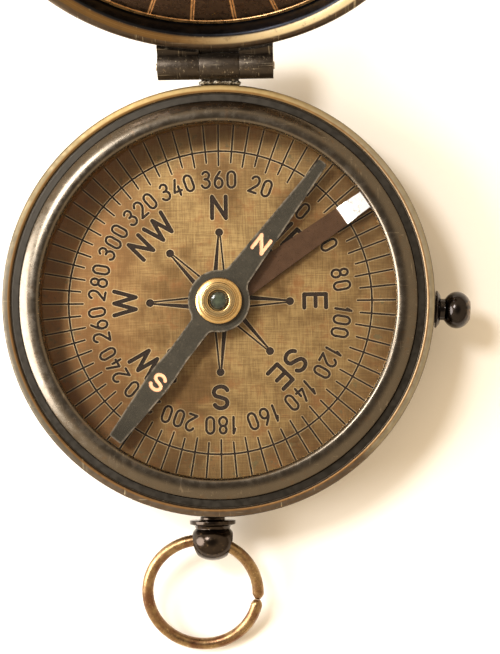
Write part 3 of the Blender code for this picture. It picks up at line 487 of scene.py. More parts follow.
GLYPHS = {
    "0": [bow_line(0.5, 0.72, 0.5, 0.28, 0, 180) + bow_line(0.5, 0.28, 0.5, 0.28, 180, 360) + [(1.0, 0.72)]],
    "1": [[(0.62, 0.0), (0.62, 1.0)], [(0.62, 1.0), (0.2, 0.72)]],
    "2": [
        bow_line(0.5, 0.73, 0.5, 0.27, 165, 0) + bow_line(0.3, 0.73, 0.7, 0.42, -8, -48, 6) + [(0.0, 0.0)],
        [(0.0, 0.0), (1.0, 0.0)],
    ],
    "3": [
        bow_line(0.47, 0.77, 0.44, 0.23, 155, -90) + [(0.34, 0.54)],
        [(0.34, 0.54)] + bow_line(0.47, 0.27, 0.53, 0.27, 90, -155),
    ],
    "4": [[(0.58, 1.0), (0.0, 0.26)], [(0.0, 0.26), (1.0, 0.26)], [(0.72, 0.56), (0.72, 0.0)]],
    "5": [
        [(0.9, 1.0), (0.14, 1.0)],
        [(0.14, 1.0), (0.08, 0.52)],
        [(0.08, 0.52)] + bow_line(0.48, 0.31, 0.52, 0.31, 118, -155),
    ],
    "6": [
        bow_line(0.5, 0.3, 0.5, 0.3, 0, 360, 24),
        [(0.66, 1.0)] + bow_line(0.62, 0.3, 0.62, 0.5, 128, 180, 7),
    ],
    "7": [[(0.0, 1.0), (1.0, 1.0)], [(1.0, 1.0), (0.32, 0.0)]],
    "8": [bow_line(0.5, 0.765, 0.42, 0.235, 0, 360, 22), bow_line(0.5, 0.275, 0.5, 0.275, 0, 360, 24)],
    "9": [
        bow_line(0.5, 0.7, 0.5, 0.3, 0, 360, 24),
        [(0.34, 0.0)] + bow_line(0.38, 0.7, 0.62, 0.5, -52, 0, 7),
    ],
    "N": [[(0.0, 0.0), (0.0, 1.0)], [(0.0, 1.0), (1.0, 0.0)], [(1.0, 0.0), (1.0, 1.0)]],
    "E": [
        *([(0.0, 0.0), (0.0, 1.0)], [(0.0, 1.0), (1.0, 1.0)]),
        *([(0.0, 0.52), (0.9, 0.52)], [(0.0, 0.0), (1.0, 0.0)]),
    ],
    "S": [
        bow_line(0.5, 0.755, 0.47, 0.245, 22, 225, 16)
        + [(0.32, 0.545), (0.68, 0.465)]
        + bow_line(0.5, 0.26, 0.5, 0.26, 45, -160, 16)
    ],
    "W": [
        [(0.0, 1.0), (0.25, 0.0)],
        [(0.25, 0.0), (0.5, 1.0)],
        [(0.5, 1.0), (0.75, 0.0)],
        [(0.75, 0.0), (1.0, 1.0)],
    ],
}
NARROW = {"1": 0.62}
LETTER_WIDTHS = {"N": 3.2, "E": 3.1, "S": 3.2, "W": 5.0}


def written(text, widths, gap, low, high, half, bearing):
    """Strokes for text centred on a bearing, its tops outwards, between two radii."""
    total = sum(widths) + gap * (len(text) - 1)
    strokes = []
    left = -total / 2
    angle = math.radians(bearing)
    for letter, width in zip(text, widths):
        for line in GLYPHS[letter]:
            stroke = []
            for u, v in line:
                x = left + half + u * (width - 2 * half)
                y = low + half + v * (high - low - 2 * half)
                turned_x = x * math.cos(angle) + y * math.sin(angle)
                turned_y = y * math.cos(angle) - x * math.sin(angle)
                stroke.append((turned_x, turned_y, half))
            strokes.append(stroke)
        left += width + gap
    return strokes


def ring_stroke(radius, half, segments=180):
    return [(*point_at(radius, 360.0 * index / segments), half) for index in range(segments + 1)]


def radial_stroke(bearing, inner, outer, half, side=0.0):
    """A line along a bearing, moved sideways by side."""
    dx, dy = point_at(side, bearing + 90.0)
    x0, y0 = point_at(inner, bearing)
    x1, y1 = point_at(outer, bearing)
    return [(x0 + dx, y0 + dy, half), (x1 + dx, y1 + dy, half)]


# ---- Materials


class Paint:
    """One procedural material round a Principled shader, with its colour laid on coat by coat."""

    def __init__(self, name, metallic=1.0, roughness=0.35, in_part_frame=False, **settings):
        self.material = bpy.data.materials.new(name)
        self.material.use_nodes = True
        self.tree = self.material.node_tree
        self.shader = self.tree.nodes["Principled BSDF"]
        for socket, value in {"Metallic": metallic, "Roughness": roughness, **settings}.items():
            self.shader.inputs[socket.replace("_", " ")].default_value = value
        self.colour = self.normal = None
        if in_part_frame:
            metres = self.node("ShaderNodeTexCoord").outputs["Object"]
            self.here = self.vector("SCALE", {0: metres, "Scale": 1.0 / MM}).outputs[0]
        else:
            self.here = self.field("place", "Vector")

    def node(self, kind, inputs=(), **settings):
        made = self.tree.nodes.new(kind)
        for key, value in settings.items():
            setattr(made, key, value)
        for key, value in dict(inputs).items():
            if isinstance(value, bpy.types.NodeSocket):
                self.tree.links.new(value, made.inputs[key])
            else:
                made.inputs[key].default_value = value
        return made

    def vector(self, operation, inputs):
        return self.node("ShaderNodeVectorMath", inputs, operation=operation)

    def field(self, name, output="Fac"):
        return self.node("ShaderNodeAttribute", attribute_name=name).outputs[output]

    def math(self, operation, a, b):
        return self.node("ShaderNodeMath", {0: a, 1: b}, operation=operation).outputs[0]

    def times(self, a, b):
        return self.math("MULTIPLY", a, b)

    def plus(self, a, b):
        return self.math("ADD", a, b)

    def most(self, a, b):
        return self.math("MAXIMUM", a, b)

    def axis(self, index):
        return self.node("ShaderNodeSeparateXYZ", {0: self.here}).outputs[index]

    def radius(self):
        flat = self.vector("MULTIPLY", {0: self.here, 1: (1.0, 1.0, 0.0)}).outputs[0]
        return self.vector("LENGTH", {0: flat}).outputs["Value"]

    def span(self, value, low, high, bottom=0.0, top=1.0):
        """Smoothly from bottom to top as value goes from low to high."""
        limits = {"From Min": low, "From Max": high, "To Min": bottom, "To Max": top}
        made = self.node("ShaderNodeMapRange", {"Value": value}, interpolation_type="SMOOTHSTEP")
        for key, limit in limits.items():
            made.inputs[key].default_value = limit
        return made.outputs[0]

    def noise(self, scale, detail=4.0, stretch=None, rough=0.55):
        """Noise with features about 1/scale millimetres across, stretched along small factors."""
        where = self.vector("MULTIPLY", {0: self.here, 1: stretch}).outputs[0] if stretch else self.here
        settings = {"Vector": where, "Scale": scale, "Detail": detail, "Roughness": rough}
        return self.node("ShaderNodeTexNoise", settings).outputs["Fac"]

    def patches(self, scale, low, high, top=1.0, detail=5.0, rough=0.55):
        """A share from 0 to top, where the noise is above low and high."""
        return self.span(self.noise(scale, detail, rough=rough), low, high, 0.0, top)

    def uneven(self, scale, low, high):
        """A value that wanders between low and high."""
        return self.span(self.noise(scale), 0.3, 0.7, low, high)

    def turning(self, scale):
        """Fine lines round the piece's own axis, as a lathe leaves."""
        along = self.node("ShaderNodeCombineXYZ", {0: self.radius(), 2: self.axis(2)}).outputs[0]
        settings = {"Vector": along, "Scale": scale, "Detail": 3.0, "Roughness": 0.7}
        return self.node("ShaderNodeTexNoise", settings).outputs["Fac"]

    def scratches(self, amount=0.5):
        """A share from 0 to 1 that picks out sparse thin lines in three directions."""
        lines = []
        for scale, stretch in ((3.1, (1.0, 0.04, 1.0)), (2.3, (0.05, 1.0, 1.0)), (2.7, (0.7, 0.05, 0.4))):
            lines.append(self.span(self.noise(scale, 2.0, stretch), 0.7 - 0.08 * amount, 0.76))
        return self.most(self.most(lines[0], lines[1]), lines[2])

    def mix(self, share, a, b):
        made = self.node("ShaderNodeMix", {0: share}, data_type="RGBA")
        for index, value in ((6, a), (7, b)):
            if isinstance(value, bpy.types.NodeSocket):
                self.tree.links.new(value, made.inputs[index])
            else:
                made.inputs[index].default_value = (*value, 1.0)
        return made.outputs[2]

    def base(self, share, a, b):
        self.colour = self.mix(share, a, b)

    def coat(self, share, colour):
        self.colour = self.mix(share, self.colour, colour)

    def bump(self, height, strength, distance=0.05):
        made = self.node("ShaderNodeBump", {"Height": height, "Strength": strength, "Distance": distance * MM})
        if self.normal is not None:
            self.tree.links.new(self.normal, made.inputs["Normal"])
        self.normal = made.outputs[0]

    def done(self, roughness=None, metallic=None):
        ties = {"Base Color": self.colour, "Roughness": roughness, "Metallic": metallic, "Normal": self.normal}
        for socket, value in ties.items():
            if value is not None:
                self.tree.links.new(value, self.shader.inputs[socket])
        return self.material


PALE_GOLD = (0.8, 0.68, 0.44)
BRONZE = (0.15, 0.115, 0.08)
DARK_BRONZE = (0.085, 0.062, 0.045)
BROWN = (0.16, 0.095, 0.05)


def case_metal():
    """Dark bronze skin, rubbed through on the bead: gold at the top, pale at the right; at the left the bead is
    coated dull and dark as painted shade.
    """
    paint = Paint("case_brass")
    x, height, radius = paint.axis(0), paint.axis(2), paint.radius()
    on_bead = paint.times(paint.span(radius, 36.0, 36.35), paint.span(height, 10.2, 11.4))
    side = paint.most(paint.span(paint.axis(1), 2.0, 24.0), paint.span(x, 20.0, 34.0, 0.0, 0.8))
    clouds = paint.noise(0.22, 5.0)
    worn = paint.times(on_bead, paint.span(paint.plus(clouds, side), 0.62, 1.0))
    worn = paint.most(worn, paint.times(on_bead, paint.patches(1.3, 0.66, 0.72, 1.0, 6.0, 0.7)))
    bright = paint.mix(paint.span(x, 5.0, 34.0), (0.46, 0.33, 0.14), (0.42, 0.37, 0.26))
    bright = paint.mix(paint.noise(0.9, 5.0), bright, paint.mix(0.45, bright, DARK_BRONZE))
    dull = paint.mix(clouds, (0.05, 0.045, 0.035), (0.12, 0.105, 0.075))
    ledge = paint.times(paint.span(radius, 34.4, 34.5), paint.span(radius, 36.05, 35.85))
    paint.base(paint.noise(0.35, 5.0), DARK_BRONZE, BRONZE)
    paint.coat(paint.patches(2.5, 0.45, 0.7, 0.5, 4.0), BROWN)
    paint.coat(paint.times(paint.scratches(), 0.5), PALE_GOLD)
    paint.coat(ledge, paint.mix(clouds, (0.04, 0.036, 0.03), (0.06, 0.053, 0.044)))
    paint.coat(worn, bright)
    # Painted shade: the bead is coated dull and dark on its left side, towards -x.
    paint.coat(paint.times(on_bead, paint.span(x, -14.0, -30.0, 0.0, 0.75)), dull)
    paint.coat(paint.times(on_bead, paint.span(radius, 36.62, 36.4, 0.0, 0.85)), (0.2, 0.1, 0.03))
    paint.coat(paint.times(on_bead, paint.span(radius, 37.3, 37.42, 0.0, 0.8)), (0.06, 0.047, 0.035))
    paint.bump(paint.turning(9.0), 0.25, 0.02)
    paint.bump(paint.noise(3.0, 5.0), 0.15, 0.03)
    return paint.done(paint.plus(paint.uneven(1.1, 0.32, 0.46), paint.times(on_bead, 0.08)))


def bezel_metal():
    """Polished dark bronze with soft brown clouds and hair scratches."""
    paint = Paint("bezel_bronze")
    paint.base(paint.noise(0.3), (0.105, 0.09, 0.072), (0.15, 0.125, 0.095))
    paint.coat(paint.patches(0.8, 0.55, 0.75, 0.4), BROWN)
    paint.coat(paint.times(paint.scratches(), 0.35), (0.4, 0.34, 0.26))
    paint.bump(paint.turning(7.0), 0.2, 0.02)
    paint.bump(paint.noise(2.2), 0.1, 0.04)
    return paint.done(paint.uneven(0.7, 0.2, 0.3))


def dial_metal():
    """Old brushed brass under thin lacquer: crossed brushing, orange edge, green-grey spots, painted shade on
    the left side and a painted highlight along the engraving's edges.
    """
    paint = Paint("dial_brass", Coat_Weight=0.25, Coat_Roughness=0.3)
    radius = paint.radius()
    across = paint.noise(4.2, 4.0, (0.05, 1.0, 1.0), 0.75)
    down = paint.noise(4.2, 4.0, (1.0, 0.05, 1.0), 0.75)
    brushing = paint.times(paint.plus(across, down), 0.5)
    clouds = paint.noise(0.12, 5.0)
    moss = paint.times(paint.patches(0.5, 0.54, 0.66, 0.8, 6.0, 0.7), paint.span(radius, 22.0, 28.0))
    paint.base(paint.span(clouds, 0.38, 0.6), (0.27, 0.155, 0.055), (0.46, 0.31, 0.125))
    paint.coat(paint.span(brushing, 0.44, 0.56, 0.55, 0.0), (0.15, 0.08, 0.03))
    paint.coat(paint.span(radius, 19.0, 30.0, 0.0, 0.5), (0.2, 0.108, 0.04))
    # Painted shade: the dial turns darker red-brown towards its left side, where the bezel's shadow falls.
    paint.coat(paint.span(paint.axis(0), -8.0, -22.0, 0.0, 0.5), (0.27, 0.12, 0.042))
    paint.coat(paint.patches(0.25, 0.5, 0.68, 0.7, 5.0, 0.65), (0.3, 0.13, 0.045))
    paint.coat(moss, (0.12, 0.11, 0.055))
    paint.coat(paint.patches(1.8, 0.7, 0.76, 0.7, 3.0), (0.1, 0.07, 0.04))
    # Painted highlight: bright cream along the edges of the engraving, as if the groove walls caught the light.
    paint.coat(paint.times(paint.field("cut_edge"), 0.7), (0.9, 0.7, 0.4))
    paint.bump(brushing, 0.35, 0.02)
    paint.bump(paint.noise(0.6, 3.0), 0.2)
    return paint.done(paint.plus(paint.span(clouds, 0.3, 0.7, 0.34, 0.44), paint.times(moss, 0.2)))


def filling():
    """Old black wax in the engraving."""
    paint = Paint("engraving_fill", metallic=0.0, roughness=0.6, Specular_IOR_Level=0.15)
    paint.base(paint.noise(1.4, 5.0), (0.01, 0.006, 0.004), (0.028, 0.016, 0.009))
    paint.bump(paint.noise(6.0, 3.0), 0.3, 0.02)
    return paint.done(paint.uneven(2.0, 0.45, 0.65))


def needle_metal():
    """Dull gunmetal, paler where its edges are rubbed."""
    paint = Paint("needle_steel")
    rubbed = paint.times(paint.field("cut_edge"), paint.patches(0.9, 0.35, 0.6, 1.0, 4.0))
    paint.base(paint.noise(0.5, 6.0), (0.04, 0.037, 0.029), (0.07, 0.062, 0.047))
    paint.coat(paint.patches(3.0, 0.55, 0.7, 0.5, 5.0, 0.7), (0.16, 0.135, 0.1))
    paint.coat(paint.times(rubbed, 0.8), (0.34, 0.29, 0.22))
    paint.bump(paint.noise(4.0, 5.0), 0.3, 0.03)
    return paint.done(paint.uneven(1.5, 0.42, 0.55))


def copper_paint():
    """The needle's sunk letters, in worn copper paint."""
    paint = Paint("needle_letters", metallic=0.2, roughness=0.5)
    paint.base(paint.noise(1.8, 5.0), (0.85, 0.4, 0.2), (1.0, 0.6, 0.38))
    paint.bump(paint.noise(5.0), 0.3, 0.02)
    return paint.done(paint.uneven(2.5, 0.4, 0.6))


def cap_metal():
    """Bright turned brass."""
    paint = Paint("cap_brass")
    lines = paint.turning(7.0)
    paint.base(paint.span(lines, 0.35, 0.65), (0.52, 0.34, 0.13), (0.78, 0.56, 0.26))
    paint.coat(paint.patches(1.2, 0.5, 0.75, 0.6, 4.0), (0.42, 0.28, 0.12))
    paint.bump(lines, 0.3, 0.02)
    return paint.done(paint.span(lines, 0.3, 0.7, 0.2, 0.32))


def jewel_glass():
    paint = Paint("jewel", metallic=0.0, roughness=0.14)
    paint.base(paint.span(paint.radius(), 0.2, 1.5), (0.04, 0.052, 0.034), (0.012, 0.016, 0.012))
    paint.coat(paint.patches(1.6, 0.45, 0.7, 0.5, 4.0), (0.09, 0.105, 0.07))
    return paint.done()


def lever_metal():
    """Tarnished copper-brown strip; its outer end is painted near-white silver and made less metallic, a
    painted highlight where the raised end would catch the light.
    """
    paint = Paint("lever_copper", in_part_frame=True)
    end = paint.span(paint.radius(), 26.2, 26.7)
    # Painted highlight: past 26.2 mm the strip's end is coloured near-white silver.
    painted_end_highlight = paint.mix(paint.patches(1.2, 0.36, 0.47, 1.0, 6.0, 0.75), (0.5, 0.49, 0.47), (0.93, 0.92, 0.9))
    paint.base(paint.noise(0.6, 5.0), (0.09, 0.05, 0.03), (0.19, 0.105, 0.06))
    paint.coat(paint.patches(1.6, 0.58, 0.72, 0.7), (0.06, 0.034, 0.022))
    paint.coat(end, painted_end_highlight)
    paint.bump(paint.noise(2.0, 5.0), 0.25, 0.04)
    return paint.done(paint.span(end, 0.0, 1.0, 0.36, 0.3), paint.span(end, 0.0, 1.0, 1.0, 0.2))


def gunmetal():
    """The hinge: blackened brass, knocked and scratched, with brass showing at the corners."""
    paint = Paint("hinge_gunmetal")
    marks = paint.most(paint.patches(3.2, 0.71, 0.75, 1.0, 3.0), paint.times(paint.scratches(0.9), 0.6))
    paint.base(paint.noise(0.6, 5.0), (0.04, 0.033, 0.027), (0.085, 0.068, 0.052))
    paint.coat(paint.patches(1.2, 0.6, 0.72, 0.8, 6.0, 0.7), (0.2, 0.14, 0.08))
    paint.coat(marks, (0.62, 0.53, 0.38))
    paint.bump(paint.noise(2.5, 6.0), 0.5, 0.06)
    return paint.done(paint.uneven(1.5, 0.34, 0.5))


def solder():
    paint = Paint("solder")
    paint.base(paint.patches(2.6, 0.42, 0.7, 1.0, 6.0, 0.75), (0.05, 0.042, 0.03), (0.5, 0.44, 0.34))
    paint.bump(paint.noise(4.0, 6.0), 0.8, 0.1)
    return paint.done(paint.uneven(3.0, 0.3, 0.55))


def black_polish():
    """The button: polished black-brown skin, browner towards its end."""
    paint = Paint("knob_dark", Coat_Weight=0.4, Coat_Roughness=0.1)
    worn = paint.times(paint.span(paint.axis(2), 42.6, 43.6), paint.patches(1.6, 0.4, 0.65))
    paint.base(paint.noise(0.8, 5.0), (0.008, 0.006, 0.005), (0.022, 0.015, 0.012))
    paint.coat(paint.times(worn, 0.6), (0.28, 0.19, 0.11))
    paint.bump(paint.turning(6.0), 0.2, 0.02)
    return paint.done(paint.uneven(1.2, 0.16, 0.3))


def pendant_metal():
    paint = Paint("pendant_bronze")
    paint.base(paint.noise(0.7, 5.0), (0.022, 0.017, 0.014), (0.055, 0.042, 0.033))
    paint.coat(paint.patches(1.8, 0.58, 0.74, 0.5), (0.3, 0.22, 0.13))
    paint.bump(paint.turning(6.0), 0.25, 0.02)
    return paint.done(paint.uneven(1.4, 0.12, 0.22))


def bow_metal():
    """Brass wire gone brown, rubbed yellow in places."""
    paint = Paint("bow_brass")
    rubbed = paint.span(paint.noise(2.6, 4.0, (1.0, 1.0, 0.6)), 0.6, 0.74)
    paint.base(paint.patches(0.35, 0.4, 0.62), (0.17, 0.085, 0.045), (0.3, 0.2, 0.095))
    paint.coat(paint.patches(1.6, 0.5, 0.7, 0.75, 6.0, 0.7), (0.14, 0.08, 0.045))
    paint.coat(paint.times(rubbed, 0.6), (0.6, 0.44, 0.22))
    paint.bump(paint.noise(3.0, 6.0), 0.4)
    return paint.done(paint.uneven(1.3, 0.26, 0.42))


def lid_metal():
    """Dark bronze outside; the turned band round the mouth is gold with a painted highlight that brightens it
    towards the right, and the wall inside it is blue-black.
    """
    paint = Paint("lid_brass")
    radius, height = paint.radius(), paint.axis(2)
    rubbed = paint.times(paint.span(height, 17.6, 18.9), paint.patches(0.2, 0.45, 0.7, 1.0, 6.0, 0.65))
    band = paint.times(paint.span(radius, 34.35, 34.6), paint.span(radius, 35.45, 35.9, 1.0, 0.0))
    band = paint.times(band, paint.span(height, 13.7, 14.0, 1.0, 0.0))
    gold = paint.mix(paint.span(paint.turning(1.6), 0.35, 0.65), (0.12, 0.065, 0.024), (0.22, 0.135, 0.056))
    # Painted highlight: the band's gold turns near-white towards its right side.
    gold = paint.mix(paint.span(paint.axis(0), -8.0, 18.0, 0.0, 0.95), gold, (1.0, 0.88, 0.6))
    gold = paint.mix(paint.patches(0.6, 0.5, 0.7, 0.6, 6.0, 0.7), gold, (0.14, 0.09, 0.045))
    inside = paint.times(paint.span(radius, 34.5, 34.3), paint.span(height, 17.2, 16.9))
    paint.base(paint.noise(0.35, 5.0), DARK_BRONZE, BRONZE)
    paint.coat(paint.patches(2.0, 0.5, 0.7, 0.5), BROWN)
    paint.coat(paint.times(rubbed, 0.6), (0.42, 0.28, 0.13))
    paint.coat(paint.times(paint.scratches(0.7), 0.45), PALE_GOLD)
    paint.coat(band, gold)
    paint.coat(inside, (0.016, 0.017, 0.021))
    paint.bump(paint.turning(5.0), 0.1, 0.02)
    paint.bump(paint.noise(3.0, 5.0), 0.15, 0.03)
    return paint.done(paint.uneven(1.2, 0.28, 0.42))


def lid_plate_metal():
    paint = Paint("lid_plate_bronze")
    paint.base(paint.noise(0.4, 5.0), (0.06, 0.04, 0.028), (0.13, 0.082, 0.055))
    paint.coat(paint.patches(0.9, 0.55, 0.72, 0.7), (0.03, 0.02, 0.018))
    paint.coat(paint.span(paint.radius(), 33.1, 33.4), (0.75, 0.45, 0.18))
    paint.coat(paint.times(paint.field("cut_edge"), 0.9), (0.85, 0.5, 0.22))
    paint.bump(paint.noise(1.5, 5.0), 0.2)
    return paint.done(paint.uneven(1.0, 0.22, 0.36))


def gilt_lines():
    paint = Paint("lid_plate_lines")
    paint.base(paint.noise(1.4, 5.0), (0.5, 0.28, 0.12), (0.85, 0.58, 0.3))
    return paint.done(paint.uneven(2.0, 0.3, 0.5))


def clear_glass():
    """Flat glass, with a trace of dust."""
    paint = Paint("glass", roughness=0.03, Alpha=0.025)
    paint.base(paint.noise(0.2, 5.0), (0.9, 0.95, 0.93), (1.0, 1.0, 0.98))
    paint.material.surface_render_method = "BLENDED"
    return paint.done()


def turned_metal(name, dark, bright, roughness=0.3):
    """Plain turned metal for what lies inside."""
    paint = Paint(name, roughness=roughness, in_part_frame=True)
    paint.base(paint.noise(1.5, 5.0), dark, bright)
    paint.coat(paint.patches(0.5, 0.55, 0.75, 0.5), tuple(part * 0.4 for part in dark))
    paint.bump(paint.noise(6.0, 4.0, (1.0, 1.0, 0.1)), 0.2, 0.02)
    return paint.done(paint.uneven(2.0, roughness - 0.05, roughness + 0.12))


def steel(name):
    return turned_metal(name, (0.34, 0.33, 0.31), (0.58, 0.56, 0.52), 0.25)


# ---- Case


def build_case():
    profile = [
        (0.0, FLOOR_HEIGHT),
        (CASE_BORE_RADIUS, FLOOR_HEIGHT),
        (CASE_BORE_RADIUS, LEDGE_HEIGHT - 0.1),
        (CASE_BORE_RADIUS + 0.1, LEDGE_HEIGHT),
        (CASE_BORE_RADIUS + 0.2, LEDGE_HEIGHT),
    ]
    profile += [(radius, LEDGE_HEIGHT - depth) for radius, depth in LEDGE_GROOVE]
    profile += arc(36.4, RIM_HEIGHT - 0.35, 0.4, 0.35, 160, 90, 6)
    profile += [(36.55, RIM_HEIGHT), (36.95, RIM_HEIGHT - 0.03)]
    profile += arc(CASE_RADIUS - 0.45, RIM_HEIGHT - 0.5, 0.45, 0.44, 75, 0, 8)
    profile += [(CASE_RADIUS - inward, RIM_HEIGHT - drop) for inward, drop in BAND_DROPS]
    profile += arc(CASE_WALL_RADIUS - BACK_FILLET, BACK_FILLET, BACK_FILLET, BACK_FILLET, 0, -90, 12)
    profile += [*BACK_LINE, (0.0, 0.0)]
    cutters = []
    for place, radius in ((BUTTON_PLACE, BUTTON_HOLE_RADIUS), (PENDANT_PLACE, PENDANT_HOLE_RADIUS)):
        cutter = extruded(circle(radius), CASE_BORE_RADIUS - 1.0, CASE_RADIUS + 1.0)
        cutter.transform(place)
        cutters.append(cutter)
    body = combined(lathe(softened(profile, 0.08, 2)), cutters, "DIFFERENCE")
    piece("case_body", body, case_metal(), "case", ["case_shell"], smooth=35.0)


def build_bezel():
    """A broad ring, gently convex on top, that turns down sharply at its inner edge."""
    corner = BEZEL_CORNER_RADIUS
    corner_start = BEZEL_INNER_RADIUS + corner
    peak = corner_start + BEZEL_PEAK_OFFSET
    profile = [(BEZEL_INNER_RADIUS, BEZEL_LIP_HEIGHT)]
    profile += arc(corner_start, BEZEL_CROWN_HEIGHT - BEZEL_CORNER_DROP, corner, corner, 180, 100, 14)
    steps = 20
    for step in range(1, steps + 1):
        radius = corner_start - 0.1 + (BEZEL_OUTER_RADIUS - corner_start + 0.04) * step / steps
        fall = ((radius - peak) / (BEZEL_OUTER_RADIUS - peak)) ** 2
        profile.append((radius, BEZEL_CROWN_HEIGHT - BEZEL_OUTER_DROP * fall))
    profile += [
        (BEZEL_OUTER_RADIUS, profile[-1][1] - 0.08),
        (BEZEL_OUTER_RADIUS, GLASS_BOTTOM),
        (BEZEL_SKIRT_RADIUS, GLASS_BOTTOM),
        (BEZEL_SKIRT_RADIUS, BEZEL_LIP_HEIGHT),
    ]
    ring = lathe(profile, closed=True)
    piece("bezel", ring, bezel_metal(), "case", ["bezel_ring"], smooth=35.0)


def build_seat():
    start, end = SEAT_GAP_BEARINGS
    bearings = [end + (start + 360.0 - end) * step / ROUND for step in range(ROUND + 1)]
    outline = [point_at(DIAL_RADIUS, bearing) for bearing in bearings]
    outline += [point_at(SEAT_INNER_RADIUS, bearing) for bearing in reversed(bearings)]
    ring = extruded(outline, SEAT_BOTTOM, SEAT_TOP)
    metal = turned_metal("seat_brass", (0.2, 0.13, 0.07), (0.32, 0.21, 0.11))
    piece("seat_ring", ring, metal, "case", ["glass_seat_ring"])


def build_glass():
    profile = [(0.0, GLASS_TOP), (GLASS_RADIUS, GLASS_TOP), (GLASS_RADIUS, GLASS_BOTTOM), (0.0, GLASS_BOTTOM)]
    piece("glass_cover", lathe(softened(profile, 0.25)), clear_glass(), "case", ["cover_glass"])


def number_strokes(text, width, gap, radii, half, bearing):
    widths = [width * NARROW.get(letter, 1.0) for letter in text]
    return written(text, widths, gap, *radii, half, bearing)


def pointer_strokes(bearing):
    """A dot with two lines that spread towards the hub, the left one cut wider."""
    dot_x, dot_y = point_at(POINTER_DOT_REACH, bearing)
    x, y = point_at(POINTER_FOOT_REACH, bearing)
    lines = [[(dot_x, dot_y, POINTER_DOT_RADIUS)]]
    for side, near_half in POINTER_SIDES:
        dx, dy = point_at(side, bearing + 90.0)
        tip = (dot_x + dx * 0.15, dot_y + dy * 0.15, POINTER_TIP_HALF)
        lines.append([(x + dx, y + dy, near_half), tip])
    return lines


def dial_strokes():
    strokes = [ring_stroke(RING_LINE_RADIUS, TICK_HALF_WIDTH)]
    for bearing in range(0, 360, TICK_SPACING):
        inner, outer = TEN_DEGREE_TICK if bearing % 10 == 0 else FIVE_DEGREE_TICK
        strokes.append(radial_stroke(bearing, inner, outer, TICK_HALF_WIDTH))
    for bearing in range(NUMBER_SPACING, 361, NUMBER_SPACING):
        strokes += number_strokes(
            str(bearing), DIGIT_WIDTH, DIGIT_GAP, NUMBER_RADII, NUMBER_HALF_STROKE, bearing
        )
    for index, text in enumerate(COMPASS_POINTS):
        bearing = 45.0 * index
        widths = [LETTER_WIDTHS[letter] for letter in text]
        strokes += written(text, widths, LETTER_GAP, *LETTER_RADII, LETTER_HALF_STROKE, bearing)
        strokes += pointer_strokes(bearing)
    return strokes


def build_dial():
    borders = [circle(DIAL_RADIUS, segments=ROUND), circle(STEM_HOLE_RADIUS, segments=48)]
    shape, edge = engraved_face(borders, dial_strokes(), DIAL_TOP, ENGRAVING_DEPTH, ENGRAVING_SLOPE)
    mark_edges(shape, edge)
    keep_ring(shape, STEM_HOLE_RADIUS - 0.01, DIAL_RADIUS)
    closed_below(shape, DIAL_BOTTOM)
    piece("dial", shape, [dial_metal(), filling()], "case", ["dial_plate"], smooth=12.0)


# ---- Needle


def needle_outline():
    """The hub's disc and both arms in one outline, drawn with north along +Y."""
    points = []
    for sign, arm, following in ((1, NORTH_ARM, SOUTH_ARM), (-1, SOUTH_ARM, NORTH_ARM)):
        points += [(-half * sign, reach * sign) for reach, half in arm]
        points += [(half * sign, reach * sign) for reach, half in reversed(arm)]
        start = math.degrees(math.asin(arm[0][1] / NEEDLE_HUB_RADIUS)) + 6.0
        end = 180.0 - math.degrees(math.asin(following[0][1] / NEEDLE_HUB_RADIUS)) - 6.0
        offset = 0.0 if sign > 0 else 180.0
        for step in range(25):
            points.append(point_at(NEEDLE_HUB_RADIUS, offset + start + (end - start) * step / 24))
    return softened(points, 0.35, closed=True)


def inset(outline, amount):
    points = np.array(outline)
    ahead = np.roll(points, -1, 0) - points
    behind = points - np.roll(points, 1, 0)
    tangent = ahead / np.linalg.norm(ahead, axis=1)[:, None] + behind / np.linalg.norm(behind, axis=1)[:, None]
    tangent /= np.linalg.norm(tangent, axis=1)[:, None]
    return (points + np.stack([tangent[:, 1], -tangent[:, 0]], 1) * amount).tolist()


def drop_outside(shape, outline):
    """Removes faces whose centre lies outside the outline."""
    points = np.array(outline)
    after = np.roll(points, -1, 0)
    wrong = []
    for face in shape.faces:
        x, y, _ = face.calc_center_median()
        crosses = (points[:, 1] > y) != (after[:, 1] > y)
        run = np.where(crosses, after[:, 1] - points[:, 1], 1.0)
        at = points[:, 0] + (y - points[:, 1]) / run * (after[:, 0] - points[:, 0])
        if (crosses & (x < at)).sum() % 2 == 0:
            wrong.append(face)
    bmesh.ops.delete(shape, geom=wrong, context="FACES")


def build_needle():
    outline = needle_outline()
    strokes = []
    for letter, reach in NEEDLE_LETTERS:
        for line in GLYPHS[letter]:
            stroke = []
            for u, v in line:
                x, y = (u - 0.5) * NEEDLE_LETTER_WIDTH, reach + (v - 0.5) * NEEDLE_LETTER_HEIGHT
                stroke.append((x, y, NEEDLE_LETTER_HALF_STROKE))
            strokes.append(stroke)
    borders = [outline, inset(outline, NEEDLE_RIM_WIDTH), circle(NEEDLE_BORE_RADIUS, segments=48)]
    shape, edge = engraved_face(borders, strokes, NEEDLE_TOP, 0.1, 0.08, halo=0.12)
    flat = np.array([vert.co.xy for vert in shape.verts])
    rim = [[(x, y, 0.0) for x, y in outline + outline[:1]]]
    near_rim = 1.0 - np.clip(outside_distance(flat, rim) / NEEDLE_RIM_WIDTH, 0.0, 1.0)
    mark_edges(shape, np.maximum(edge * 0.4, near_rim))
    keep_ring(shape, NEEDLE_BORE_RADIUS - 0.01, 40.0)
    drop_outside(shape, outline)
    closed_below(shape, NEEDLE_BOTTOM, 0.08)
    metals = [needle_metal(), copper_paint()]
    piece("needle", shape, metals, "needle", ["needle_bar"], NEEDLE_PLACE, smooth=20.0)


def build_cap():
    cap = lathe(softened(CAP_PROFILE, 0.22, 4, closed=True), 128, closed=True)
    piece("cap", cap, cap_metal(), "needle", ["needle_cap"], smooth=40.0)
    jewel = lathe(JEWEL_PROFILE, 96)
    piece("jewel", jewel, jewel_glass(), "needle", ["needle_jewel"], smooth=40.0)


# ---- Button, pendant and bow


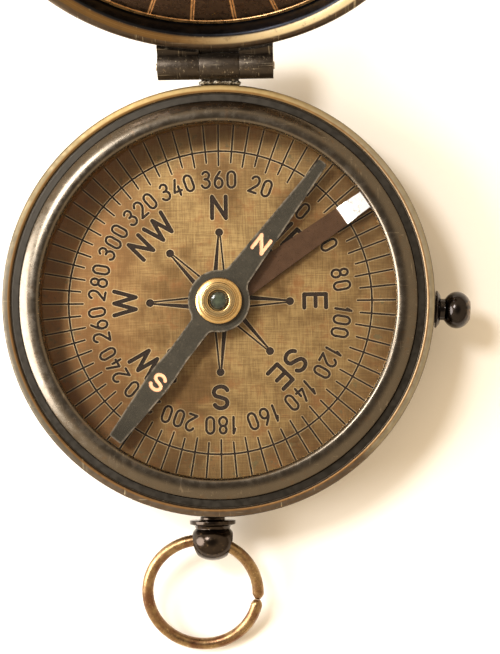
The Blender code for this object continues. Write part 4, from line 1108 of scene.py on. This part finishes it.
def build_button():
    metal = black_polish()
    ring = lathe(softened(BUSH_PROFILE, 0.12, closed=True), 96, closed=True)
    piece("button_bush", ring, metal, "case", ["button_collar"], BUTTON_PLACE)
    flat_angle = math.degrees(math.acos(KNOB_FLAT_RADIUS / KNOB_RADIUS))
    knob = [(0.0, KNOB_END), (KNOB_FLAT_RADIUS, KNOB_END)]
    knob += arc(0.0, KNOB_CENTRE, KNOB_RADIUS, KNOB_HALF_LENGTH, flat_angle, KNOB_NECK_ANGLE, 26)
    knob = lathe(softened(knob + list(KNOB_STEM), 0.15), 128)
    piece("button", knob, metal, "button", ["check_button"], BUTTON_PLACE, smooth=40.0)


def build_spring():
    """The return spring, drawn as a fixed coil of wire; one end sits against the knob."""
    start, end = SPRING_ENDS
    steps = round(SPRING_TURNS * 24)
    path = []
    for step in range(steps + 1):
        angle = math.radians(15.0 * step)
        along = start + SPRING_WIRE_RADIUS + (end - start - 2 * SPRING_WIRE_RADIUS) * step / steps
        path.append((SPRING_COIL_RADIUS * math.cos(angle), SPRING_COIL_RADIUS * math.sin(angle), along))
    coil = tube(path, [SPRING_WIRE_RADIUS] * (steps + 1), 10)
    metal = steel("spring_steel")
    stands_for = ["button_spring"]
    spring = piece("return_spring", coil, metal, "button", stands_for, BUTTON_PLACE, smooth=60.0)
    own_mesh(spring)


def build_pendant():
    ball_end = math.degrees(math.acos(BALL_WAIST_RADIUS / BALL_RADIUS))
    profile = arc(0.0, BALL_CENTRE, BALL_RADIUS, BALL_DEPTH, 90, -ball_end, 32)
    profile[0] = (0.0, BALL_CENTRE + BALL_DEPTH)
    stem = lathe(softened(profile + list(PENDANT_STEM), 0.12), 128)
    hole = extruded(circle(BOW_HOLE_RADIUS, segments=48), -6.0, 6.0, axis="X")
    hole.transform(PENDANT_PLACE.inverted() @ shift(PENDANT_X, -BOW_AXIS_DISTANCE, PENDANT_HEIGHT))
    ball = combined(stem, [hole], "DIFFERENCE")
    metal = pendant_metal()
    piece("pendant_ball", ball, metal, "case", ["pendant"], PENDANT_PLACE, smooth=38.0)


def build_bow():
    """A split ring of round wire, with its ends rounded off."""
    steps = 150
    path, radii = [], []
    for step in range(steps + 1):
        share = step / steps
        angle = math.radians(BOW_START_ANGLE + BOW_SWEEP * share)
        x = BOW_RADIUS * math.cos(angle) - BOW_SIDE_SHIFT
        y = -BOW_RADIUS * math.sin(angle) - BOW_CENTRE_REACH
        path.append((x, y, 0.0))
        end = min(share, 1.0 - share) * steps
        radii.append(BOW_WIRE_RADIUS * min(1.0, math.sqrt(0.3 + end * 0.35)))
    piece("bow", tube(path, radii, 28), bow_metal(), "bow", ["bow_ring"], BOW_PLACE, smooth=60.0)


# ---- Hinge, drawn round its axis


def knuckle(ends, radius=KNUCKLE_RADIUS):
    return extruded(circle(radius), *ends, axis="X")


def block(x_ends, low, high):
    """A leaf's block, from inside the wall out to its outer face."""
    inner, outer = LEAF_FIT_RADIUS - 2.0 - HINGE_Y, LEAF_OUTER_Y - HINGE_Y
    low, high = low - HINGE_Z, high - HINGE_Z
    return extruded([(inner, low), (outer, low), (outer, high), (inner, high)], *x_ends, axis="X")


def hinge_leaf(knuckles, blocks, cuts, bevel):
    """Knuckles and blocks in one, cut to the case's round wall, the pin's bore and any other cuts."""
    wall = extruded(circle(LEAF_FIT_RADIUS, segments=200), -15.0, 15.0)
    wall.transform(shift(0.0, -HINGE_Y, 0.0))
    bore = extruded(circle(PIN_BORE_RADIUS, segments=32), -12.0, 12.0, axis="X")
    leaf = combined(knuckles[0], knuckles[1:] + blocks, "UNION")
    return bevelled(combined(leaf, [wall, bore, *cuts], "DIFFERENCE"), bevel)


def build_hinge():
    metal = gunmetal()
    middle = (CASE_KNUCKLE[0] - HINGE_GAP, CASE_KNUCKLE[1] + HINGE_GAP)
    leaf = hinge_leaf([knuckle(middle)], [block(CASE_KNUCKLE, *CASE_LEAF)], [], 0.09)
    piece("hinge_case_leaf", leaf, metal, "case", ["case_hinge_knuckle"], HINGE_PLACE)
    blocks = [block(ends, LID_LEAF_BOTTOM, LID_LEAF_TOP) for ends in (LEFT_KNUCKLE, RIGHT_KNUCKLE)]
    blocks.append(block((LEFT_KNUCKLE[0], RIGHT_KNUCKLE[1]), LID_LEAF_WRAP, LID_LEAF_TOP))
    room = knuckle((LEFT_KNUCKLE[1], RIGHT_KNUCKLE[0]), KNUCKLE_RADIUS + KNUCKLE_ROOM)
    leaf = hinge_leaf([knuckle(LEFT_KNUCKLE), knuckle(RIGHT_KNUCKLE)], blocks, [room], 0.05)
    place = HINGE_PLACE @ turn(-LID_OPEN_ANGLE, "X")
    piece("hinge_lid_leaf", leaf, metal, "lid", ["lid_hinge_leaf"], place)
    length = PIN_ENDS[1] - PIN_ENDS[0]
    profile = [(0.0, length), (PIN_RADIUS, length), (PIN_RADIUS, 0.0), (0.0, 0.0)]
    pin = lathe(softened(profile, 0.18), 48)
    pin.transform(shift(PIN_ENDS[0], 0.0, 0.0) @ turn(90.0, "Y"))
    metal = turned_metal("pin_steel", (0.3, 0.26, 0.2), (0.5, 0.44, 0.34))
    piece("hinge_rod", pin, metal, "lid", ["hinge_pin"], place)


def solder_seam(name, x_ends, height, body, place):
    """An uneven run of solder where a leaf meets the round wall, drawn in the closed compass's frame."""
    steps = 90
    path, radii = [], []
    for step in range(steps + 1):
        x = x_ends[0] + (x_ends[1] - x_ends[0]) * step / steps
        lumps = noise.noise(Vector((x * 1.3, height, 0.0)))
        y = math.sqrt(LEAF_FIT_RADIUS**2 - x**2) + SOLDER_REACH + 0.12 * lumps
        path.append((x, y, height + 0.06 * lumps))
        end = min(step, steps - step) / 6
        radii.append(SOLDER_RADIUS * min(1.0, math.sqrt(0.2 + end)) * (1.0 + 0.5 * lumps))
    shape = tube(path, radii, 16)
    for vert in shape.verts:
        vert.co += vert.co.normalized() * 0.09 * noise.noise(vert.co * 3.1)
    piece(name, shape, solder(), body, place=place, smooth=70.0)


# ---- Lid


def build_lid():
    """The domed lid. Its shadow is switched off, so that the light on the dial matches the photo."""
    dome_edge, dome_edge_height = LID_RADIUS - LID_TOP_FILLET, LID_SHOULDER_HEIGHT + LID_TOP_FILLET
    edge_width, edge_rise = LID_RADIUS - LID_EDGE_RADIUS, LID_WALL_START - LID_RIM_HEIGHT
    mouth_width, mouth_rise = LID_EDGE_RADIUS - LID_MOUTH_RADIUS, LID_MOUTH_HEIGHT - LID_RIM_HEIGHT
    steps = 16
    outer, inner = [], []
    for step in range(steps):
        share = step / steps
        height = LID_DOME_HEIGHT - (LID_DOME_HEIGHT - dome_edge_height) * share**2
        outer.append((dome_edge * share, height))
        inner.append((LID_FLOOR_RADIUS * share, height - LID_THICKNESS))
    profile = outer + arc(dome_edge, LID_SHOULDER_HEIGHT, LID_TOP_FILLET, LID_TOP_FILLET, 90, 0, 14)
    profile += arc(LID_EDGE_RADIUS, LID_WALL_START, edge_width, edge_rise, 0, -90, 8)
    profile += arc(LID_EDGE_RADIUS, LID_MOUTH_HEIGHT, mouth_width, mouth_rise, -90, -180, 14)[1:]
    profile += [
        (LID_MOUTH_RADIUS, LID_RECESS_HEIGHT),
        (LID_FLOOR_RADIUS, LID_RECESS_HEIGHT),
        (LID_FLOOR_RADIUS, dome_edge_height - LID_THICKNESS),
        *reversed(inner),
    ]
    lid = piece("lid", lathe(profile), lid_metal(), "lid", ["lid_shell"], LID_PLACE, smooth=40.0)
    lid.visible_shadow = False


def lid_plate_strokes():
    """A table of cells round the edge and plain numbers, which face the reader when the lid is open."""
    outer, inner, _ = LID_RING_LINES
    strokes = [ring_stroke(radius, 0.1, 120) for radius in LID_RING_LINES]
    for cell in range(LID_CELLS):
        bearing = 360.0 * (cell + 0.5) / LID_CELLS
        strokes.append(radial_stroke(bearing, inner, outer, 0.1, 0.16))
        strokes.append(radial_stroke(bearing, inner, outer, 0.07, -0.26))
        middle = 360.0 * (cell + 1) / LID_CELLS
        strokes += number_strokes(
            str(cell + 1), LID_DIGIT_WIDTH, LID_DIGIT_GAP, LID_NUMBER_RADII, LID_NUMBER_HALF_STROKE, middle
        )
    return strokes


def build_lid_plate():
    """The inner plate is drawn face up, then turned over so that its engraving faces the dial."""
    borders = [circle(LID_PLATE_RADIUS, segments=ROUND)]
    shape, edge = engraved_face(borders, lid_plate_strokes(), LID_PLATE_TOP, 0.1, 0.05, halo=0.1)
    mark_edges(shape, edge)
    keep_ring(shape, -1.0, LID_PLATE_RADIUS)
    closed_below(shape, LID_PLATE_BOTTOM)
    middle = (LID_PLATE_BOTTOM + LID_PLATE_TOP) / 2
    place = LID_PLACE @ shift(0.0, 0.0, middle) @ turn(180.0, "X") @ shift(0.0, 0.0, -middle)
    metals = [lid_plate_metal(), gilt_lines()]
    table = piece("lid_table", shape, metals, "lid", ["lid_plate"], place, smooth=12.0)
    table.visible_shadow = False


def dress_frame():
    """Gives the CAD nodes that stay their materials."""
    inner_brass = turned_metal("inner_brass", (0.5, 0.36, 0.17), (0.68, 0.5, 0.26))
    inner_steel = steel("steel")
    looks = {
        "lifter_lever": lever_metal(),
        "dial_spacer_ring": inner_brass,
        "pivot_nut": inner_brass,
        "fulcrum_stud": inner_brass,
        "pivot_post": inner_steel,
        "button_retainer": inner_steel,
    }
    for node, material in looks.items():
        NODES[node].data.materials.clear()
        NODES[node].data.materials.append(material)


# ---- Studio


CAMERA_TARGET = (5.55, -4.85, 12.5)
CAMERA_SLOPE = (0.0544, -0.0656)
CAMERA_DISTANCE = 300.0
CAMERA_ROLL = -0.65
CAMERA_LENS = 95.6
WALL_COLOUR = (1.0, 0.79, 0.54)
WORLD_BANDS = ((0.0, (0.55, 0.42, 0.28)), (0.35, WALL_COLOUR), (0.8, WALL_COLOUR), (0.97, (0.2, 0.165, 0.13)))
WORLD_LEFT, WORLD_RIGHT = 1.35, 1.05
LIGHT_COLOUR = (1.0, 0.99, 0.98)
FLOOR_HALF_SIZE, FLOOR_DROP = 1.5, 0.0001


def build_camera():
    centre = Vector((0.0, 0.0, RIM_HEIGHT))
    away = Vector((*CAMERA_SLOPE, 1.0)).normalized()
    position = centre + away * CAMERA_DISTANCE
    back = (position - Vector(CAMERA_TARGET)).normalized()
    right = Vector((0.0, 1.0, 0.0)).cross(back).normalized()
    up = back.cross(right)
    facing = Matrix((right, up, back)).transposed().to_4x4()
    data = bpy.data.cameras.new("camera")
    data.lens = CAMERA_LENS
    data.sensor_width = 36.0
    data.clip_start = 0.01
    data.clip_end = 10.0
    camera = bpy.data.objects.new("camera", data)
    camera.matrix_world = Matrix.Translation(position * MM) @ facing @ turn(CAMERA_ROLL, "Z")
    bpy.context.scene.collection.objects.link(camera)
    bpy.context.scene.camera = camera


def soft_light(name, position, size, power):
    """A round light that faces the part's origin."""
    data = bpy.data.lights.new(name, "AREA")
    data.shape = "DISK"
    data.size = size * MM
    data.energy = power
    data.color = LIGHT_COLOUR
    light = bpy.data.objects.new(name, data)
    place = Vector(position) * MM
    aim = (-place).to_track_quat("-Z", "Y")
    light.matrix_world = Matrix.Translation(place) @ aim.to_matrix().to_4x4()
    bpy.context.scene.collection.objects.link(light)


def build_world():
    """A warm pale room: brightest at middle heights and at the left, dim overhead."""
    world = bpy.data.worlds.new("studio")
    world.use_nodes = True
    bpy.context.scene.world = world
    nodes, links = world.node_tree.nodes, world.node_tree.links
    direction = nodes.new("ShaderNodeTexCoord").outputs["Generated"]
    parts = nodes.new("ShaderNodeSeparateXYZ")
    links.new(direction, parts.inputs[0])
    height = nodes.new("ShaderNodeValToRGB")
    links.new(parts.outputs[2], height.inputs[0])
    stops = height.color_ramp.elements
    stops[0].position, stops[0].color = WORLD_BANDS[0][0], (*WORLD_BANDS[0][1], 1.0)
    stops[1].position, stops[1].color = WORLD_BANDS[-1][0], (*WORLD_BANDS[-1][1], 1.0)
    for position, colour in WORLD_BANDS[1:-1]:
        stops.new(position).color = (*colour, 1.0)
    side = nodes.new("ShaderNodeMapRange")
    limits = {"From Min": 0.9, "From Max": -0.9, "To Min": WORLD_RIGHT, "To Max": WORLD_LEFT}
    for key, limit in limits.items():
        side.inputs[key].default_value = limit
    links.new(parts.outputs[0], side.inputs["Value"])
    background = nodes["Background"]
    links.new(height.outputs[0], background.inputs["Color"])
    links.new(side.outputs[0], background.inputs["Strength"])


def build_floor():
    shape = bmesh.new()
    bmesh.ops.create_grid(shape, x_segments=1, y_segments=1, size=FLOOR_HALF_SIZE)
    mesh = bpy.data.meshes.new("floor")
    shape.to_mesh(mesh)
    shape.free()
    paint = Paint("paper", metallic=0.0, roughness=0.9, in_part_frame=True)
    paint.base(paint.noise(0.8), (0.94, 0.9, 0.83), (0.96, 0.92, 0.85))
    mesh.materials.append(paint.done())
    floor = bpy.data.objects.new("floor", mesh)
    floor.location.z = -FLOOR_DROP
    bpy.context.scene.collection.objects.link(floor)


def build_studio():
    build_camera()
    build_world()
    build_floor()
    soft_light("key", (-265.0, 208.0, 512.0), 170.0, 2.4)
    soft_light("left_panel", (-430.0, -20.0, 200.0), 400.0, 4.6)
    bpy.context.scene.view_settings.view_transform = "Standard"


build_studio()
build_case()
build_bezel()
build_seat()
build_glass()
build_dial()
build_needle()
build_cap()
build_button()
build_spring()
build_pendant()
build_bow()
build_hinge()
solder_seam("case_solder", *CASE_SOLDER, "case", IDENTITY)
solder_seam("lid_solder", *LID_SOLDER, "lid", LID_PLACE)
build_lid()
build_lid_plate()
dress_frame()
